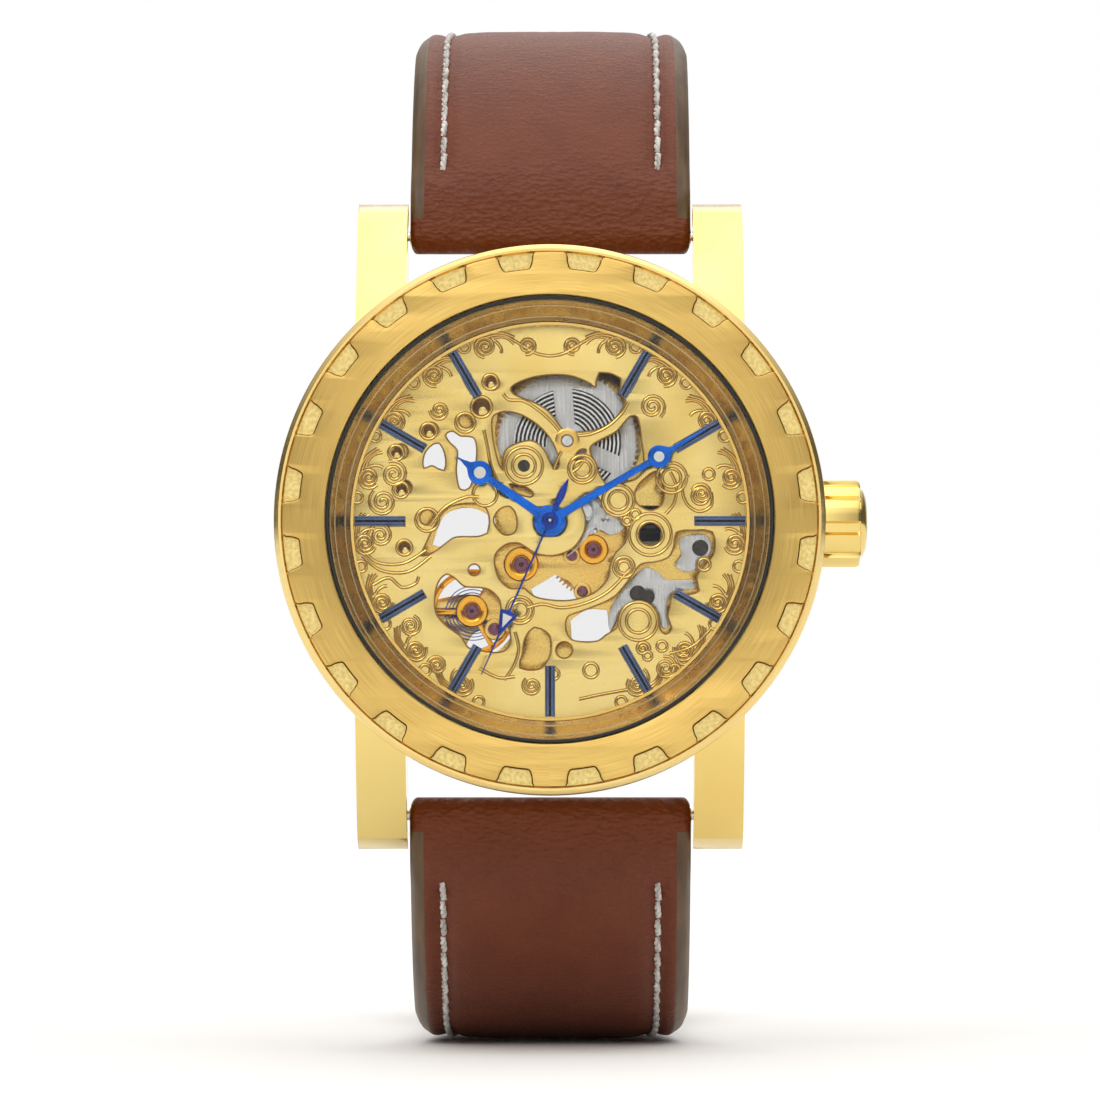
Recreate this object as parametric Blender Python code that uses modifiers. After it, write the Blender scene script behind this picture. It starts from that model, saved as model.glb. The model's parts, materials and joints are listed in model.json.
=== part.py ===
"""Skeleton wristwatch: case, hand-wound skeleton movement, hands, crown, strap and buckle.

The watch is modelled on a bench frame, in millimetres: x points to 3 o'clock, y to
12 o'clock and z towards the wearer's eye, with z = 0 on the outer face of the case-back
glass. One empty turns that frame upright, so the dial faces -Y and 12 o'clock is +Z.
"""
import math

import bmesh
import bpy
from mathutils import Matrix, Vector

MM = 0.001
TAU = 2 * math.pi

# ---------------------------------------------------------------- driving dimensions, mm
LUG_GAP = 24.0
LUG_WIDTH = 4.15
LUG_TIP = 27.25
LUG_BOW_R = 25.3
LUG_BOW_END = 46.7
SPRING_BAR_Y = 24.4
SPRING_BAR_Z = 1.8
SPRING_BAR_R = 0.75
SPRING_PIVOT_R = 0.5
SPRING_HOLE_R = 0.6

CASE_R = 21.2
BORE_R = 18.6
CASE_LOW = 3.15
CASE_TOP = 10.4
BEZEL_R = 22.8
BEZEL_FLOOR = 11.9
BEZEL_TOP = 13.15
CRYSTAL_R = 18.15
CRYSTAL_SEAT_R = 18.55
BACK_RING_R = 19.8
BACK_GLASS_R = 14.0
NOTCH_COUNT = 24
ROUND_STEPS = 56

STEM_Z = 4.8
STEM_R = 0.6
TUBE_R = 1.3
TUBE_BORE_R = 0.95
CROWN_R = 3.65
CROWN_FACE = 22.3
CROWN_END = 26.5
CROWN_FLUTES = 10
FLUTE_DEPTH = 0.35

PLATE_R = 16.6
BRIDGE_LOW = 3.15
BRIDGE_TOP = 3.85
MAIN_LOW = 6.6
MAIN_TOP = 7.7
DIAL_LOW = 8.35
DIAL_TOP = 8.85
KEYLESS_LOW = 7.85
KEYLESS_TOP = 8.2
PIVOT_R = 0.16
JEWEL_HOLE_R = 0.3

MARKER_IN = 12.0
MARKER_WIDTH = 0.85
MARKER_TOP = 9.13
HOUR_ANGLE = 304.5
MINUTE_ANGLE = 59.6
SECONDS_ANGLE = 203.7

# Arbor positions on the dial plane, from the hands' axis.
CENTRE = (0.0, 0.0)
BARREL = (1.43, 6.7)
THIRD = (3.6, -2.32)
ESCAPE = (-2.4, -3.55)
PALLET = (-4.46, -5.51)
BALANCE = (-6.5, -7.45)
MINUTE_ARBOR = (2.95, 0.95)
CROWN_WHEEL = (6.9, 0.0)
CLICK = (-4.9, 9.0)
SETTING_PIVOT = (12.5, -2.2)
YOKE_PIVOT = (7.3, -6.0)
BARREL_FOOT = (11.8, 9.0)
TRAIN_FOOT = (12.4, -5.9)
COCK_FOOT = (-11.2, -9.0)
PALLET_FOOT = (-2.6, -8.6)

# ---------------------------------------------------------------- strap, mm
STRAP_WIDTH = 23.6
STRAP_END_WIDTH = 19.6
STRAP_THICK = 4.3
STRAP_END_THICK = 2.3
FOLD_R = 1.5
SHOULDER_S = 4.0
START_HEADING = math.radians(75)
UPPER = {"side": 1, "turn": 33.0, "length": 68.0, "tail_bend": math.radians(0.6)}
LOWER = {"side": -1, "turn": 31.7, "length": 106.0, "tail_bend": math.radians(0.3125)}
BUCKLE_BAR_R = 0.7
BUCKLE_LENGTH = 11.0
KEEPER_WIDTH = 4.6
FIXED_KEEPER_S = 59.5
FREE_KEEPER_S = 52.0
HOLE_COUNT = 7
HOLE_PITCH = 6.5
FIRST_HOLE_S = 56.0

# ---------------------------------------------------------------- colour, roughness, metallic
GOLD = (0.86, 0.66, 0.26)
PALE_GOLD = (0.88, 0.72, 0.36)
LOOKS = {
    "case_gold": (GOLD, 0.18, 1.0),
    "brushed_gold": (PALE_GOLD, 0.34, 1.0),
    "plate_gold": (PALE_GOLD, 0.28, 1.0),
    "steel": ((0.72, 0.72, 0.71), 0.3, 1.0),
    "dark_steel": ((0.12, 0.11, 0.11), 0.35, 1.0),
    "brass": ((0.72, 0.52, 0.2), 0.3, 1.0),
    "blued_steel": ((0.05, 0.16, 0.6), 0.2, 1.0),
    "rubber": ((0.02, 0.02, 0.02), 0.6, 0.0),
    "glass": ((0.9, 0.95, 0.95), 0.03, 0.0),
    "leather": ((0.24, 0.09, 0.045), 0.55, 0.0),
}


# ---------------------------------------------------------------- scene and materials
def clear_scene():
    for old in list(bpy.data.objects):
        bpy.data.objects.remove(old, do_unlink=True)


def new_collection(name):
    made = bpy.data.collections.new(name)
    bpy.context.scene.collection.children.link(made)
    return made


def make_material(name, look):
    colour, roughness, metallic = look
    made = bpy.data.materials.new(name)
    made.use_nodes = True
    shader = made.node_tree.nodes["Principled BSDF"]
    shader.inputs["Base Color"].default_value = (*colour, 1)
    shader.inputs["Roughness"].default_value = roughness
    shader.inputs["Metallic"].default_value = metallic
    return made


clear_scene()
PARTS = new_collection("skeleton_wristwatch")
CUTTERS = new_collection("cutters")
MATERIALS = {name: make_material(name, look) for name, look in LOOKS.items()}
BENCH = bpy.data.objects.new("bench_frame", None)
BENCH.rotation_euler = (math.pi / 2, 0, 0)
PARTS.objects.link(BENCH)


def place(name, data, look, at=(0, 0, 0), turn=(0, 0, 0)):
    """Put mesh or curve data on the bench as a part, or as a cutter when look is None."""
    made = bpy.data.objects.new(name, data)
    made.parent = BENCH
    made.location = Vector(at) * MM
    made.rotation_euler = turn
    if look is None:
        CUTTERS.objects.link(made)
        made.hide_render = True
        made.display_type = "WIRE"
    else:
        PARTS.objects.link(made)
        data.materials.append(MATERIALS[look])
    return made


def combine(target, other, operation):
    step = target.modifiers.new(operation.lower(), "BOOLEAN")
    step.operation = operation
    step.object = other
    step.solver = "EXACT"


def cut(target, *others):
    for other in others:
        combine(target, other, "DIFFERENCE")


def join(target, *others):
    for other in others:
        combine(target, other, "UNION")


# ---------------------------------------------------------------- outlines
def circle(x, y, radius, steps=16):
    angles = [TAU * i / steps for i in range(steps)]
    return [(x + radius * math.cos(a), y + radius * math.sin(a)) for a in angles]


def arc(x, y, radius, start, end, steps):
    """Points on an arc between two angles in degrees, both ends included."""
    angles = [math.radians(start + (end - start) * i / steps) for i in range(steps + 1)]
    return [(x + radius * math.cos(a), y + radius * math.sin(a)) for a in angles]


def smooth(corners, steps=2):
    """A closed Catmull-Rom loop through its corners."""
    count = len(corners)
    loop = []
    for i in range(count):
        a, b, c, d = (Vector(corners[(i + k - 1) % count]) for k in range(4))
        for k in range(steps):
            t = k / steps
            point = 0.5 * (2 * b + (c - a) * t + (2 * a - 5 * b + 4 * c - d) * t * t
                           + (3 * b - a - 3 * c + d) * t ** 3)
            loop.append((point.x, point.y))
    return loop


def bar(start, end, width, steps=6):
    """A straight bar with round ends between two points."""
    direction = math.degrees(math.atan2(end[1] - start[1], end[0] - start[0]))
    far = arc(*end, width / 2, direction - 90, direction + 90, steps)
    near = arc(*start, width / 2, direction + 90, direction + 270, steps)
    return far + near


def rotated(points, degrees, at=(0, 0)):
    angle = math.radians(degrees)
    c, s = math.cos(angle), math.sin(angle)
    return [(at[0] + x * c - y * s, at[1] + x * s + y * c) for x, y in points]


# ---------------------------------------------------------------- solids
def turned(name, profile, look, at=(0, 0, 0), turn=(0, 0, 0), steps=32):
    """A turned solid about local z: (radius, height) pairs, down its outer side."""
    solid_core = profile[0][0] == 0 and profile[-1][0] == 0
    count = len(profile)
    edges = [(i, i + 1) for i in range(count - 1)]
    if not solid_core:
        edges.append((count - 1, 0))
    mesh = bpy.data.meshes.new(name)
    mesh.from_pydata([(r * MM, 0, h * MM) for r, h in profile], edges, [])
    made = place(name, mesh, look, at, turn)
    screw = made.modifiers.new("turn", "SCREW")
    screw.axis = "Z"
    screw.angle = TAU
    screw.steps = steps
    screw.render_steps = steps
    screw.use_merge_vertices = True
    screw.merge_threshold = 0.000001
    screw.use_smooth_shade = False
    return made


def ring(inner, outer, low, high):
    return [(outer, high), (outer, low), (inner, low), (inner, high)]


def disc(radius, low, high):
    return [(0, high), (radius, high), (radius, low), (0, low)]


def plate(name, loops, low, high, look, at=(0, 0), turn=0.0):
    """A flat plate: the first loop is its outline and the others are holes."""
    curve = bpy.data.curves.new(name, "CURVE")
    curve.dimensions = "2D"
    curve.fill_mode = "BOTH"
    curve.extrude = (high - low) / 2 * MM
    for loop in loops:
        spline = curve.splines.new("POLY")
        spline.points.add(len(loop) - 1)
        spline.use_cyclic_u = True
        for point, (x, y) in zip(spline.points, loop):
            point.co = (x * MM, y * MM, 0, 1)
    return place(name, curve, look, (*at, (low + high) / 2), (0, 0, turn))


def prism(name, loops, low, high, look=None, at=(0, 0, 0), turn=(0, 0, 0)):
    """A mesh with one straight prism for each loop, between two heights."""
    built = bmesh.new()
    for loop in loops:
        base = [built.verts.new((x * MM, y * MM, low * MM)) for x, y in loop]
        face = built.faces.new(base)
        grown = bmesh.ops.extrude_face_region(built, geom=[face])["geom"]
        raised = [g for g in grown if isinstance(g, bmesh.types.BMVert)]
        bmesh.ops.translate(built, verts=raised, vec=(0, 0, (high - low) * MM))
    bmesh.ops.recalc_face_normals(built, faces=built.faces)
    mesh = bpy.data.meshes.new(name)
    built.to_mesh(mesh)
    built.free()
    return place(name, mesh, look, at, turn)


ALONG_X = (0, math.pi / 2, 0)
SIDEWAYS = (math.pi / 2, 0, math.pi / 2)


def rod_x(name, radius, low, high, look=None, y=0.0, z=0.0, steps=16):
    """A round rod along x between two x values."""
    return turned(name, disc(radius, low, high), look, (0, y, z), ALONG_X, steps)


# ---------------------------------------------------------------- case
def lug_side():
    """Side outline of a lug bar, as (y, z): a bar that bows down to its slanted tip."""
    top = arc(9.0, -15.0, LUG_BOW_R, 90, LUG_BOW_END, 8)
    return top + [(LUG_TIP, 0.5), (LUG_TIP - 0.4, 0.0), (21.5, 0.0), (19.0, 3.3), (9.0, 3.3)]


def make_lug(name, low_x, side):
    outline = [(side * y, z) for y, z in lug_side()]
    return prism(name, [outline], low_x, low_x + LUG_WIDTH, None, (0, 0, 0), SIDEWAYS)


def make_case():
    outer = [(0, CASE_TOP), (CASE_R - 0.2, CASE_TOP), (CASE_R, CASE_TOP - 0.2),
             (CASE_R, CASE_LOW + 0.7), (CASE_R - 0.7, CASE_LOW), (0, CASE_LOW)]
    case = turned("case_middle", outer, "case_gold", steps=ROUND_STEPS)
    for side in (1, -1):
        for flank, low_x in (("right", LUG_GAP / 2), ("left", -LUG_GAP / 2 - LUG_WIDTH)):
            join(case, make_lug(f"lug_{flank}_{side}", low_x, side))
    bore = turned("case_bore", disc(BORE_R, 1.0, 14.0), None, steps=ROUND_STEPS)
    stem_hole = rod_x("stem_hole", TUBE_R + 0.05, 17.0, 23.0, z=STEM_Z)
    half = LUG_GAP / 2 + 1.2
    bars = [rod_x(f"bar_hole_{s}", SPRING_HOLE_R, -half, half, None, s * SPRING_BAR_Y,
                  SPRING_BAR_Z, 12) for s in (1, -1)]
    cut(case, bore, stem_hole, *bars)


def bezel_outline():
    """A castellated ring: 24 raised blocks with a rounded notch between them."""
    outer, floor_r, corner, pitch = 21.95, 20.6, 0.3, 360 / NOTCH_COUNT
    block = arc(0, 0, outer, 4.5 - pitch, -4.5, 2)
    into = [(outer - corner, -3.9), (floor_r + corner, -3.4), (floor_r, -2.6)]
    sides = into + [(radius, -angle) for radius, angle in reversed(into)]
    block += [(radius * math.cos(math.radians(a)), radius * math.sin(math.radians(a)))
              for radius, a in sides]
    loop = []
    for i in range(NOTCH_COUNT):
        loop += rotated(block, pitch * (i + 0.5))
    return loop


def make_bezel():
    rim = [(BEZEL_R - 0.45, 12.75), (BEZEL_R - 0.1, 12.45), (BEZEL_R, 12.0), (BEZEL_R, 11.0),
           (BEZEL_R - 0.5, 10.45), (CRYSTAL_SEAT_R, 10.45), (CRYSTAL_SEAT_R, BEZEL_FLOOR),
           (22.0, BEZEL_FLOOR), (22.0, 12.6)]
    turned("bezel_rim", rim, "case_gold", steps=ROUND_STEPS)
    inner = circle(0, 0, CRYSTAL_SEAT_R, 48)
    plate("bezel_ring", [bezel_outline(), inner], BEZEL_FLOOR + 0.04, BEZEL_TOP, "brushed_gold")


def make_crystal():
    dome = [(0, 13.5), (15.0, 13.4), (CRYSTAL_R - 0.35, 13.3), (CRYSTAL_R, 13.0),
            (CRYSTAL_R, 12.0), (0, 12.0)]
    turned("crystal", dome, "glass", steps=48)
    turned("crystal_gasket", ring(CRYSTAL_R + 0.06, CRYSTAL_SEAT_R - 0.1, 11.95, 13.05),
           "rubber", steps=48)
    cone = [(18.4, 11.85), (18.4, 8.95), (16.65, 8.95), (16.65, 9.1), (18.1, 11.85)]
    turned("rehaut_ring", cone, "case_gold", steps=48)


def make_case_back():
    back = [(BACK_RING_R, 2.8), (BACK_RING_R, 1.2), (BACK_RING_R - 0.9, 0.3), (14.3, 0.3),
            (14.3, 2.8)]
    turned("case_back_ring", back, "case_gold", steps=48)
    turned("case_back_glass", [(0, 1.0), (14.25, 1.0), (14.25, 0.35), (BACK_GLASS_R, 0),
                               (0, 0)], "glass", steps=40)
    turned("case_back_gasket", ring(18.7, 19.5, 2.85, 3.1), "rubber", steps=32)
    turned("movement_ring", ring(16.85, 18.5, 3.3, 8.3), "brass", steps=36)
    cut(bpy.data.objects["movement_ring"],
        rod_x("movement_ring_slot", 1.7, 15.0, 20.0, z=STEM_Z))


# ---------------------------------------------------------------- crown and winding
def crown_outline():
    """Broad lands round the crown with a narrower groove after each."""
    loop = []
    for i in range(CROWN_FLUTES):
        land = 360 / CROWN_FLUTES * i - 9.0
        loop += arc(0, 0, CROWN_R, land - 9.5, land + 9.5, 3)
        loop += arc(0, 0, CROWN_R - FLUTE_DEPTH, land + 11.5, land + 24.5, 2)
    return loop


def make_crown():
    body = prism("crown", [crown_outline()], CROWN_FACE, CROWN_END - 0.6, "case_gold",
                 (0, 0, STEM_Z), ALONG_X)
    cap = [(0, CROWN_END), (1.4, CROWN_END - 0.05), (2.2, CROWN_END - 0.25),
           (2.9, CROWN_END - 0.75), (0, CROWN_END - 0.75)]
    join(body, turned("crown_cap", cap, None, (0, 0, STEM_Z), ALONG_X, 24))
    cut(body, rod_x("crown_recess", 2.0, CROWN_FACE - 1, CROWN_FACE + 1.9, z=STEM_Z, steps=24),
        rod_x("crown_bore", STEM_R + 0.06, CROWN_FACE - 1, CROWN_FACE + 3.0, z=STEM_Z))
    turned("winding_stem",
           [(0, 25.1), (STEM_R, 25.1), (STEM_R, 13.3), (0.35, 13.2), (0.35, 12.5),
            (STEM_R, 12.4), (STEM_R, 7.45), (0, 7.45)], "steel", (0, 0, STEM_Z), ALONG_X, 16)
    turned("crown_gasket", ring(STEM_R + 0.05, TUBE_BORE_R - 0.05, 19.2, 19.9), "rubber",
           (0, 0, STEM_Z), ALONG_X, 16)
    turned("crown_tube", ring(TUBE_BORE_R, TUBE_R, 18.75, 22.9), "steel", (0, 0, STEM_Z),
           ALONG_X, 24)


def make_winding():
    turned("sliding_pinion", ring(STEM_R + 0.05, 1.45, 7.5, 9.2), "dark_steel",
           (0, 0, STEM_Z), ALONG_X, 20)
    turned("winding_pinion", ring(STEM_R + 0.05, 1.5, 9.4, 11.2), "steel",
           (0, 0, STEM_Z), ALONG_X, 20)
    turned("crown_wheel", ring(0.6, 3.1, 2.55, 3.05), "steel", (*CROWN_WHEEL, 0), steps=28)
    turned("crown_wheel_screw", [(0, 3.1), (0.5, 3.1), (0.5, 2.5), (1.1, 2.5), (1.1, 2.1),
                                 (0, 2.1)], "dark_steel", (*CROWN_WHEEL, 0), steps=16)
    turned("ratchet_wheel", ring(0.85, 5.5, 2.6, 3.05), "steel", (*BARREL, 0), steps=32)
    nose = rotated([(0, 0.55), (-1.1, 0.3), (-0.9, -0.6), (0.9, -0.6), (1.15, 0.1)], -20)
    hole = circle(0, 0, 0.3, 8)
    plate("click", [smooth(nose), hole], 2.6, 2.95, "steel", CLICK)


# ---------------------------------------------------------------- going train
def spoke_windows(name, inner, outer, count, low, high, at, half_spoke=0.22):
    """Cutter for the windows between a wheel's spokes."""
    gap = 360 / count
    loops = []
    for i in range(count):
        middle = gap * i
        wide = gap / 2 - math.degrees(half_spoke / outer)
        tight = gap / 2 - math.degrees(half_spoke / inner)
        rim = arc(0, 0, outer, middle - wide, middle + wide, 4)
        hub = arc(0, 0, inner, middle + tight, middle - tight, 2)
        loops.append(rim + hub)
    return prism(name, loops, low - 0.5, high + 0.5, None, (*at, 0))


def wheel(name, at, radius, low, high, arbor, look, spokes=5, hub=0.45):
    """A spoked wheel; arbor lists its (radius, height) pairs down the outer side."""
    made = turned(name, disc(radius, low, high), look, (*at, 0), steps=28)
    cut(made, spoke_windows(name + "_windows", hub + 0.35, radius - 0.55, spokes, low, high, at))
    profile = [(0, arbor[0][1])] + arbor + [(0, arbor[-1][1])]
    join(made, turned(name + "_arbor", profile, None, (*at, 0), steps=8))
    return made


def make_barrel():
    """Toothed barrel drum, open at the front through three windows to its mainspring."""
    drum = [(6.0, 6.5), (6.0, 6.15), (5.75, 6.15), (5.75, 5.05), (0.95, 5.05), (0.95, 5.25),
            (5.45, 5.25), (5.45, 6.3), (1.9, 6.3), (1.9, 6.5)]
    made = turned("barrel_drum", drum, "steel", (*BARREL, 0), steps=32)
    cut(made, spoke_windows("barrel_windows", 2.4, 5.0, 3, 6.5, 6.5, BARREL, 1.0))
    turned("barrel_arbor", [(0, 8.7), (0.45, 8.7), (0.45, 6.7), (0.8, 6.7), (0.8, 2.45),
                            (0, 2.45)], "steel", (*BARREL, 0), steps=12)


def make_mainspring():
    """The coiled mainspring: a flat strip wound in a spiral inside the drum."""
    turns, inner, outer, half, per_turn = 5, 1.3, 5.2, 0.11, 12
    count = turns * per_turn
    path = []
    for i in range(count + 1):
        radius = inner + (outer - inner) * i / count
        angle = TAU * i / per_turn
        path.append((radius, angle))
    far = [((r + half) * math.cos(a), (r + half) * math.sin(a)) for r, a in path]
    near = [((r - half) * math.cos(a), (r - half) * math.sin(a)) for r, a in reversed(path)]
    plate("mainspring", [far + near], 5.32, 6.22, "steel", BARREL)


def make_train():
    centre = wheel("centre_wheel", CENTRE, 3.77, 4.65, 4.9,
                   [(0.34, 9.85), (0.34, 6.56), (0.77, 6.56), (0.77, 6.05), (0.4, 6.05),
                    (0.4, 4.58)], "brass")
    cut(centre, turned("centre_bore", disc(0.22, 4.0, 10.5), None, steps=10))
    wheel("third_wheel", THIRD, 3.74, 4.3, 4.5,
          [(PIVOT_R, 7.0), (PIVOT_R, 6.5), (0.3, 6.5), (0.3, 5.0), (0.44, 5.0), (0.44, 4.58),
           (0.3, 4.58), (0.3, 3.92), (PIVOT_R, 3.92), (PIVOT_R, 3.5)], "brass")
    wheel("fourth_wheel", CENTRE, 3.86, 3.97, 4.15,
          [(0.15, 10.75), (0.15, 4.52), (0.47, 4.52), (0.47, 4.25), (0.3, 4.25), (0.3, 3.92),
           (PIVOT_R, 3.92), (PIVOT_R, 3.5)], "brass")
    wheel("escape_wheel", ESCAPE, 2.0, 6.05, 6.2,
          [(PIVOT_R, 7.0), (PIVOT_R, 6.5), (0.3, 6.5), (0.3, 4.25), (0.35, 4.25), (0.35, 3.92),
           (PIVOT_R, 3.92), (PIVOT_R, 3.5)], "steel", 4)


def make_escapement():
    toward = math.degrees(math.atan2(BALANCE[1] - PALLET[1], BALANCE[0] - PALLET[0]))
    right = [(1.3, 0.0), (1.55, -0.16), (1.5, -0.35), (0.7, -0.18), (0.3, -0.3), (0.1, -1.0),
             (-0.6, -1.3), (-0.75, -1.0), (-0.3, -0.75)]
    left = [(x, -y) for x, y in reversed(right[1:])]
    lever = right + left
    fork = prism("pallet_fork", [rotated(lever, toward)], 6.05, 6.2, "steel", (*PALLET, 0))
    join(fork, turned("pallet_arbor", [(0, 7.0), (PIVOT_R, 7.0), (PIVOT_R, 6.4), (0.28, 6.4),
                                       (0.28, 5.95), (PIVOT_R, 5.95), (PIVOT_R, 5.6),
                                       (0, 5.6)], None, (*PALLET, 0), steps=12))
    wheel("balance_wheel", BALANCE, 3.6, 4.95, 5.4,
          [(PIVOT_R, 7.0), (PIVOT_R, 6.5), (0.3, 6.5), (0.3, 6.25), (0.7, 6.25), (0.7, 6.0),
           (0.3, 6.0), (0.3, 3.92), (PIVOT_R, 3.92), (PIVOT_R, 3.5)], "brass", 3)
    turns, per_turn, inner, outer, half = 4, 11, 0.5, 2.4, 0.04
    count = turns * per_turn
    path = [(inner + (outer - inner) * i / count, TAU * i / per_turn) for i in range(count + 1)]
    far = [((r + half) * math.cos(a), (r + half) * math.sin(a)) for r, a in path]
    near = [((r - half) * math.cos(a), (r - half) * math.sin(a)) for r, a in reversed(path)]
    plate("hairspring", [far + near], 4.35, 4.65, "blued_steel", BALANCE)


def make_motion_work():
    turned("cannon_pinion", ring(0.4, 1.0, 7.78, 7.98), "steel", steps=20)
    minute = [(0, 8.3), (0.42, 8.3), (0.42, 7.95), (2.03, 7.95), (2.03, 7.78), (0.2, 7.78),
              (0.2, 7.3), (0, 7.3)]
    turned("minute_wheel", minute, "brass", (*MINUTE_ARBOR, 0), steps=20)
    hour = [(0.85, 9.62), (0.85, 8.27), (2.62, 8.27), (2.62, 8.07), (0.45, 8.07), (0.45, 9.62)]
    turned("hour_wheel", hour, "brass", steps=24)


# ---------------------------------------------------------------- plates and bridges
DIAL_WINDOWS = {
    "barrel_upper": [(-3.2, 11.2), (-1.8, 11.9), (0.0, 12.2), (1.8, 12.1), (3.3, 11.5),
                     (3.8, 11.2), (4.1, 12.4), (5.9, 11.9), (5.7, 10.6), (6.3, 10.1),
                     (5.5, 8.6), (4.0, 7.65), (2.1, 7.4), (1.0, 7.7), (-0.1, 9.1), (-1.4, 9.9),
                     (-2.9, 10.5)],
    "barrel_left": [(-4.8, 8.6), (-3.1, 9.1), (-1.1, 8.1), (0.2, 6.6), (0.8, 4.8), (0.3, 4.3),
                    (-0.5, 5.9), (-1.7, 6.7), (-3.7, 5.9), (-3.9, 4.2), (-4.5, 5.6)],
    "barrel_right": [(3.3, 6.0), (4.0, 6.7), (5.5, 7.5), (6.6, 8.7), (7.3, 8.6), (7.6, 6.9),
                     (7.8, 4.6), (7.1, 3.5), (6.1, 3.3), (4.6, 3.1), (3.8, 4.7)],
    "barrel_lens": [(2.0, 5.2), (2.4, 5.9), (3.0, 6.0), (2.8, 5.3), (2.4, 4.9)],
    "upper_left": [(-10.0, 6.2), (-9.2, 6.5), (-8.7, 5.4), (-8.8, 4.2), (-9.8, 4.6),
                   (-10.5, 4.4), (-10.5, 5.4)],
    "left_crescent": [(-8.7, 7.2), (-8.1, 7.5), (-7.4, 7.1), (-6.3, 6.9), (-6.1, 5.3),
                      (-6.6, 2.9), (-7.5, 2.7), (-7.8, 4.3), (-7.7, 5.8), (-8.3, 6.5)],
    "left_arc": [(-9.4, 0.0), (-8.3, 1.2), (-6.4, 1.5), (-5.2, 0.9), (-5.2, -1.0),
                 (-6.7, -1.3), (-8.0, -1.4), (-9.5, -2.5), (-10.7, -2.9), (-10.2, -1.6)],
    "hub_left": [(-4.7, 0.0), (-4.2, 1.0), (-3.3, 1.2), (-2.75, 0.3), (-2.9, -0.9),
                 (-3.9, -1.1)],
    "train": [(-4.6, -2.9), (-3.6, -1.9), (-2.4, -1.9), (-1.3, -2.6), (0.3, -2.85),
              (1.9, -2.2), (2.8, -0.9), (2.9, 0.4), (2.5, 1.6), (3.0, 2.4), (4.0, 2.0),
              (4.5, 1.1), (5.3, 0.6), (6.3, -0.3), (6.3, -1.7), (5.5, -2.6), (5.0, -3.7),
              (4.8, -4.8), (3.6, -6.0), (1.6, -6.6), (-0.4, -6.5), (-1.4, -6.2),
              (-2.2, -5.6), (-3.3, -5.6), (-4.3, -4.7)],
    "balance": [(-9.3, -5.1), (-8.6, -4.4), (-7.8, -4.8), (-7.1, -5.4), (-5.9, -5.5),
                (-5.0, -5.7), (-4.2, -6.5), (-4.0, -7.5), (-3.4, -8.9), (-3.3, -10.2),
                (-4.1, -10.9), (-5.6, -10.8), (-6.8, -10.5), (-7.4, -9.6), (-8.5, -8.8),
                (-9.4, -7.8), (-9.6, -6.5)],
    "bottom": [(-2.1, -9.8), (-1.3, -8.8), (-0.1, -9.4), (0.1, -10.4), (-0.1, -11.4),
               (-0.9, -12.3), (-2.5, -12.2), (-2.3, -11.0)],
    "keyless": [(7.5, -3.6), (8.6, -3.4), (9.8, -3.0), (10.3, -2.0), (10.5, -0.9),
                (12.0, -0.75), (13.5, -0.9), (13.7, -2.3), (13.3, -3.2), (12.2, -4.6),
                (12.4, -5.8), (11.4, -6.1), (10.2, -6.1), (10.0, -7.0), (9.8, -7.9),
                (10.1, -8.9), (9.6, -9.4), (9.1, -8.9), (9.0, -7.9), (8.4, -7.1),
                (7.4, -6.7), (6.4, -7.1), (5.8, -8.0), (5.5, -8.9), (4.6, -9.5),
                (3.8, -10.0), (1.9, -9.9), (1.3, -8.9), (1.5, -7.9), (2.5, -7.5),
                (4.3, -6.8), (5.5, -6.1), (6.5, -4.9)],
    "right": [(7.1, 2.6), (7.9, 3.6), (9.0, 4.2), (9.5, 2.8), (9.3, 1.4), (8.3, 0.9),
              (7.2, 1.5)],
    "slot": [(-3.4, 3.1), (-2.3, 3.0), (-1.4, 2.4), (-1.6, 2.0), (-2.7, 2.3)],
}
DIAL_HOLES = [(-4.8, 11.5, 0.62), (-5.7, 9.6, 0.8), (-6.95, 8.4, 0.65), (-9.9, 7.6, 0.65),
              (-12.4, 5.8, 0.65), (-12.1, 2.8, 0.65), (-10.2, 0.3, 0.65), (-12.1, -2.2, 0.65),
              (-6.3, -4.05, 0.5), (8.33, -1.1, 1.05), (1.18, -10.7, 0.7)]


def make_dial_plate():
    loops = [circle(0, 0, PLATE_R, 48), circle(*CENTRE, 1.2, 16), circle(*BARREL, 0.6, 12)]
    loops += [smooth(corners) for corners in DIAL_WINDOWS.values()]
    loops += [circle(x, y, radius, 10) for x, y, radius in DIAL_HOLES]
    plate("dial_plate", loops, DIAL_LOW, DIAL_TOP, "plate_gold")


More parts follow.
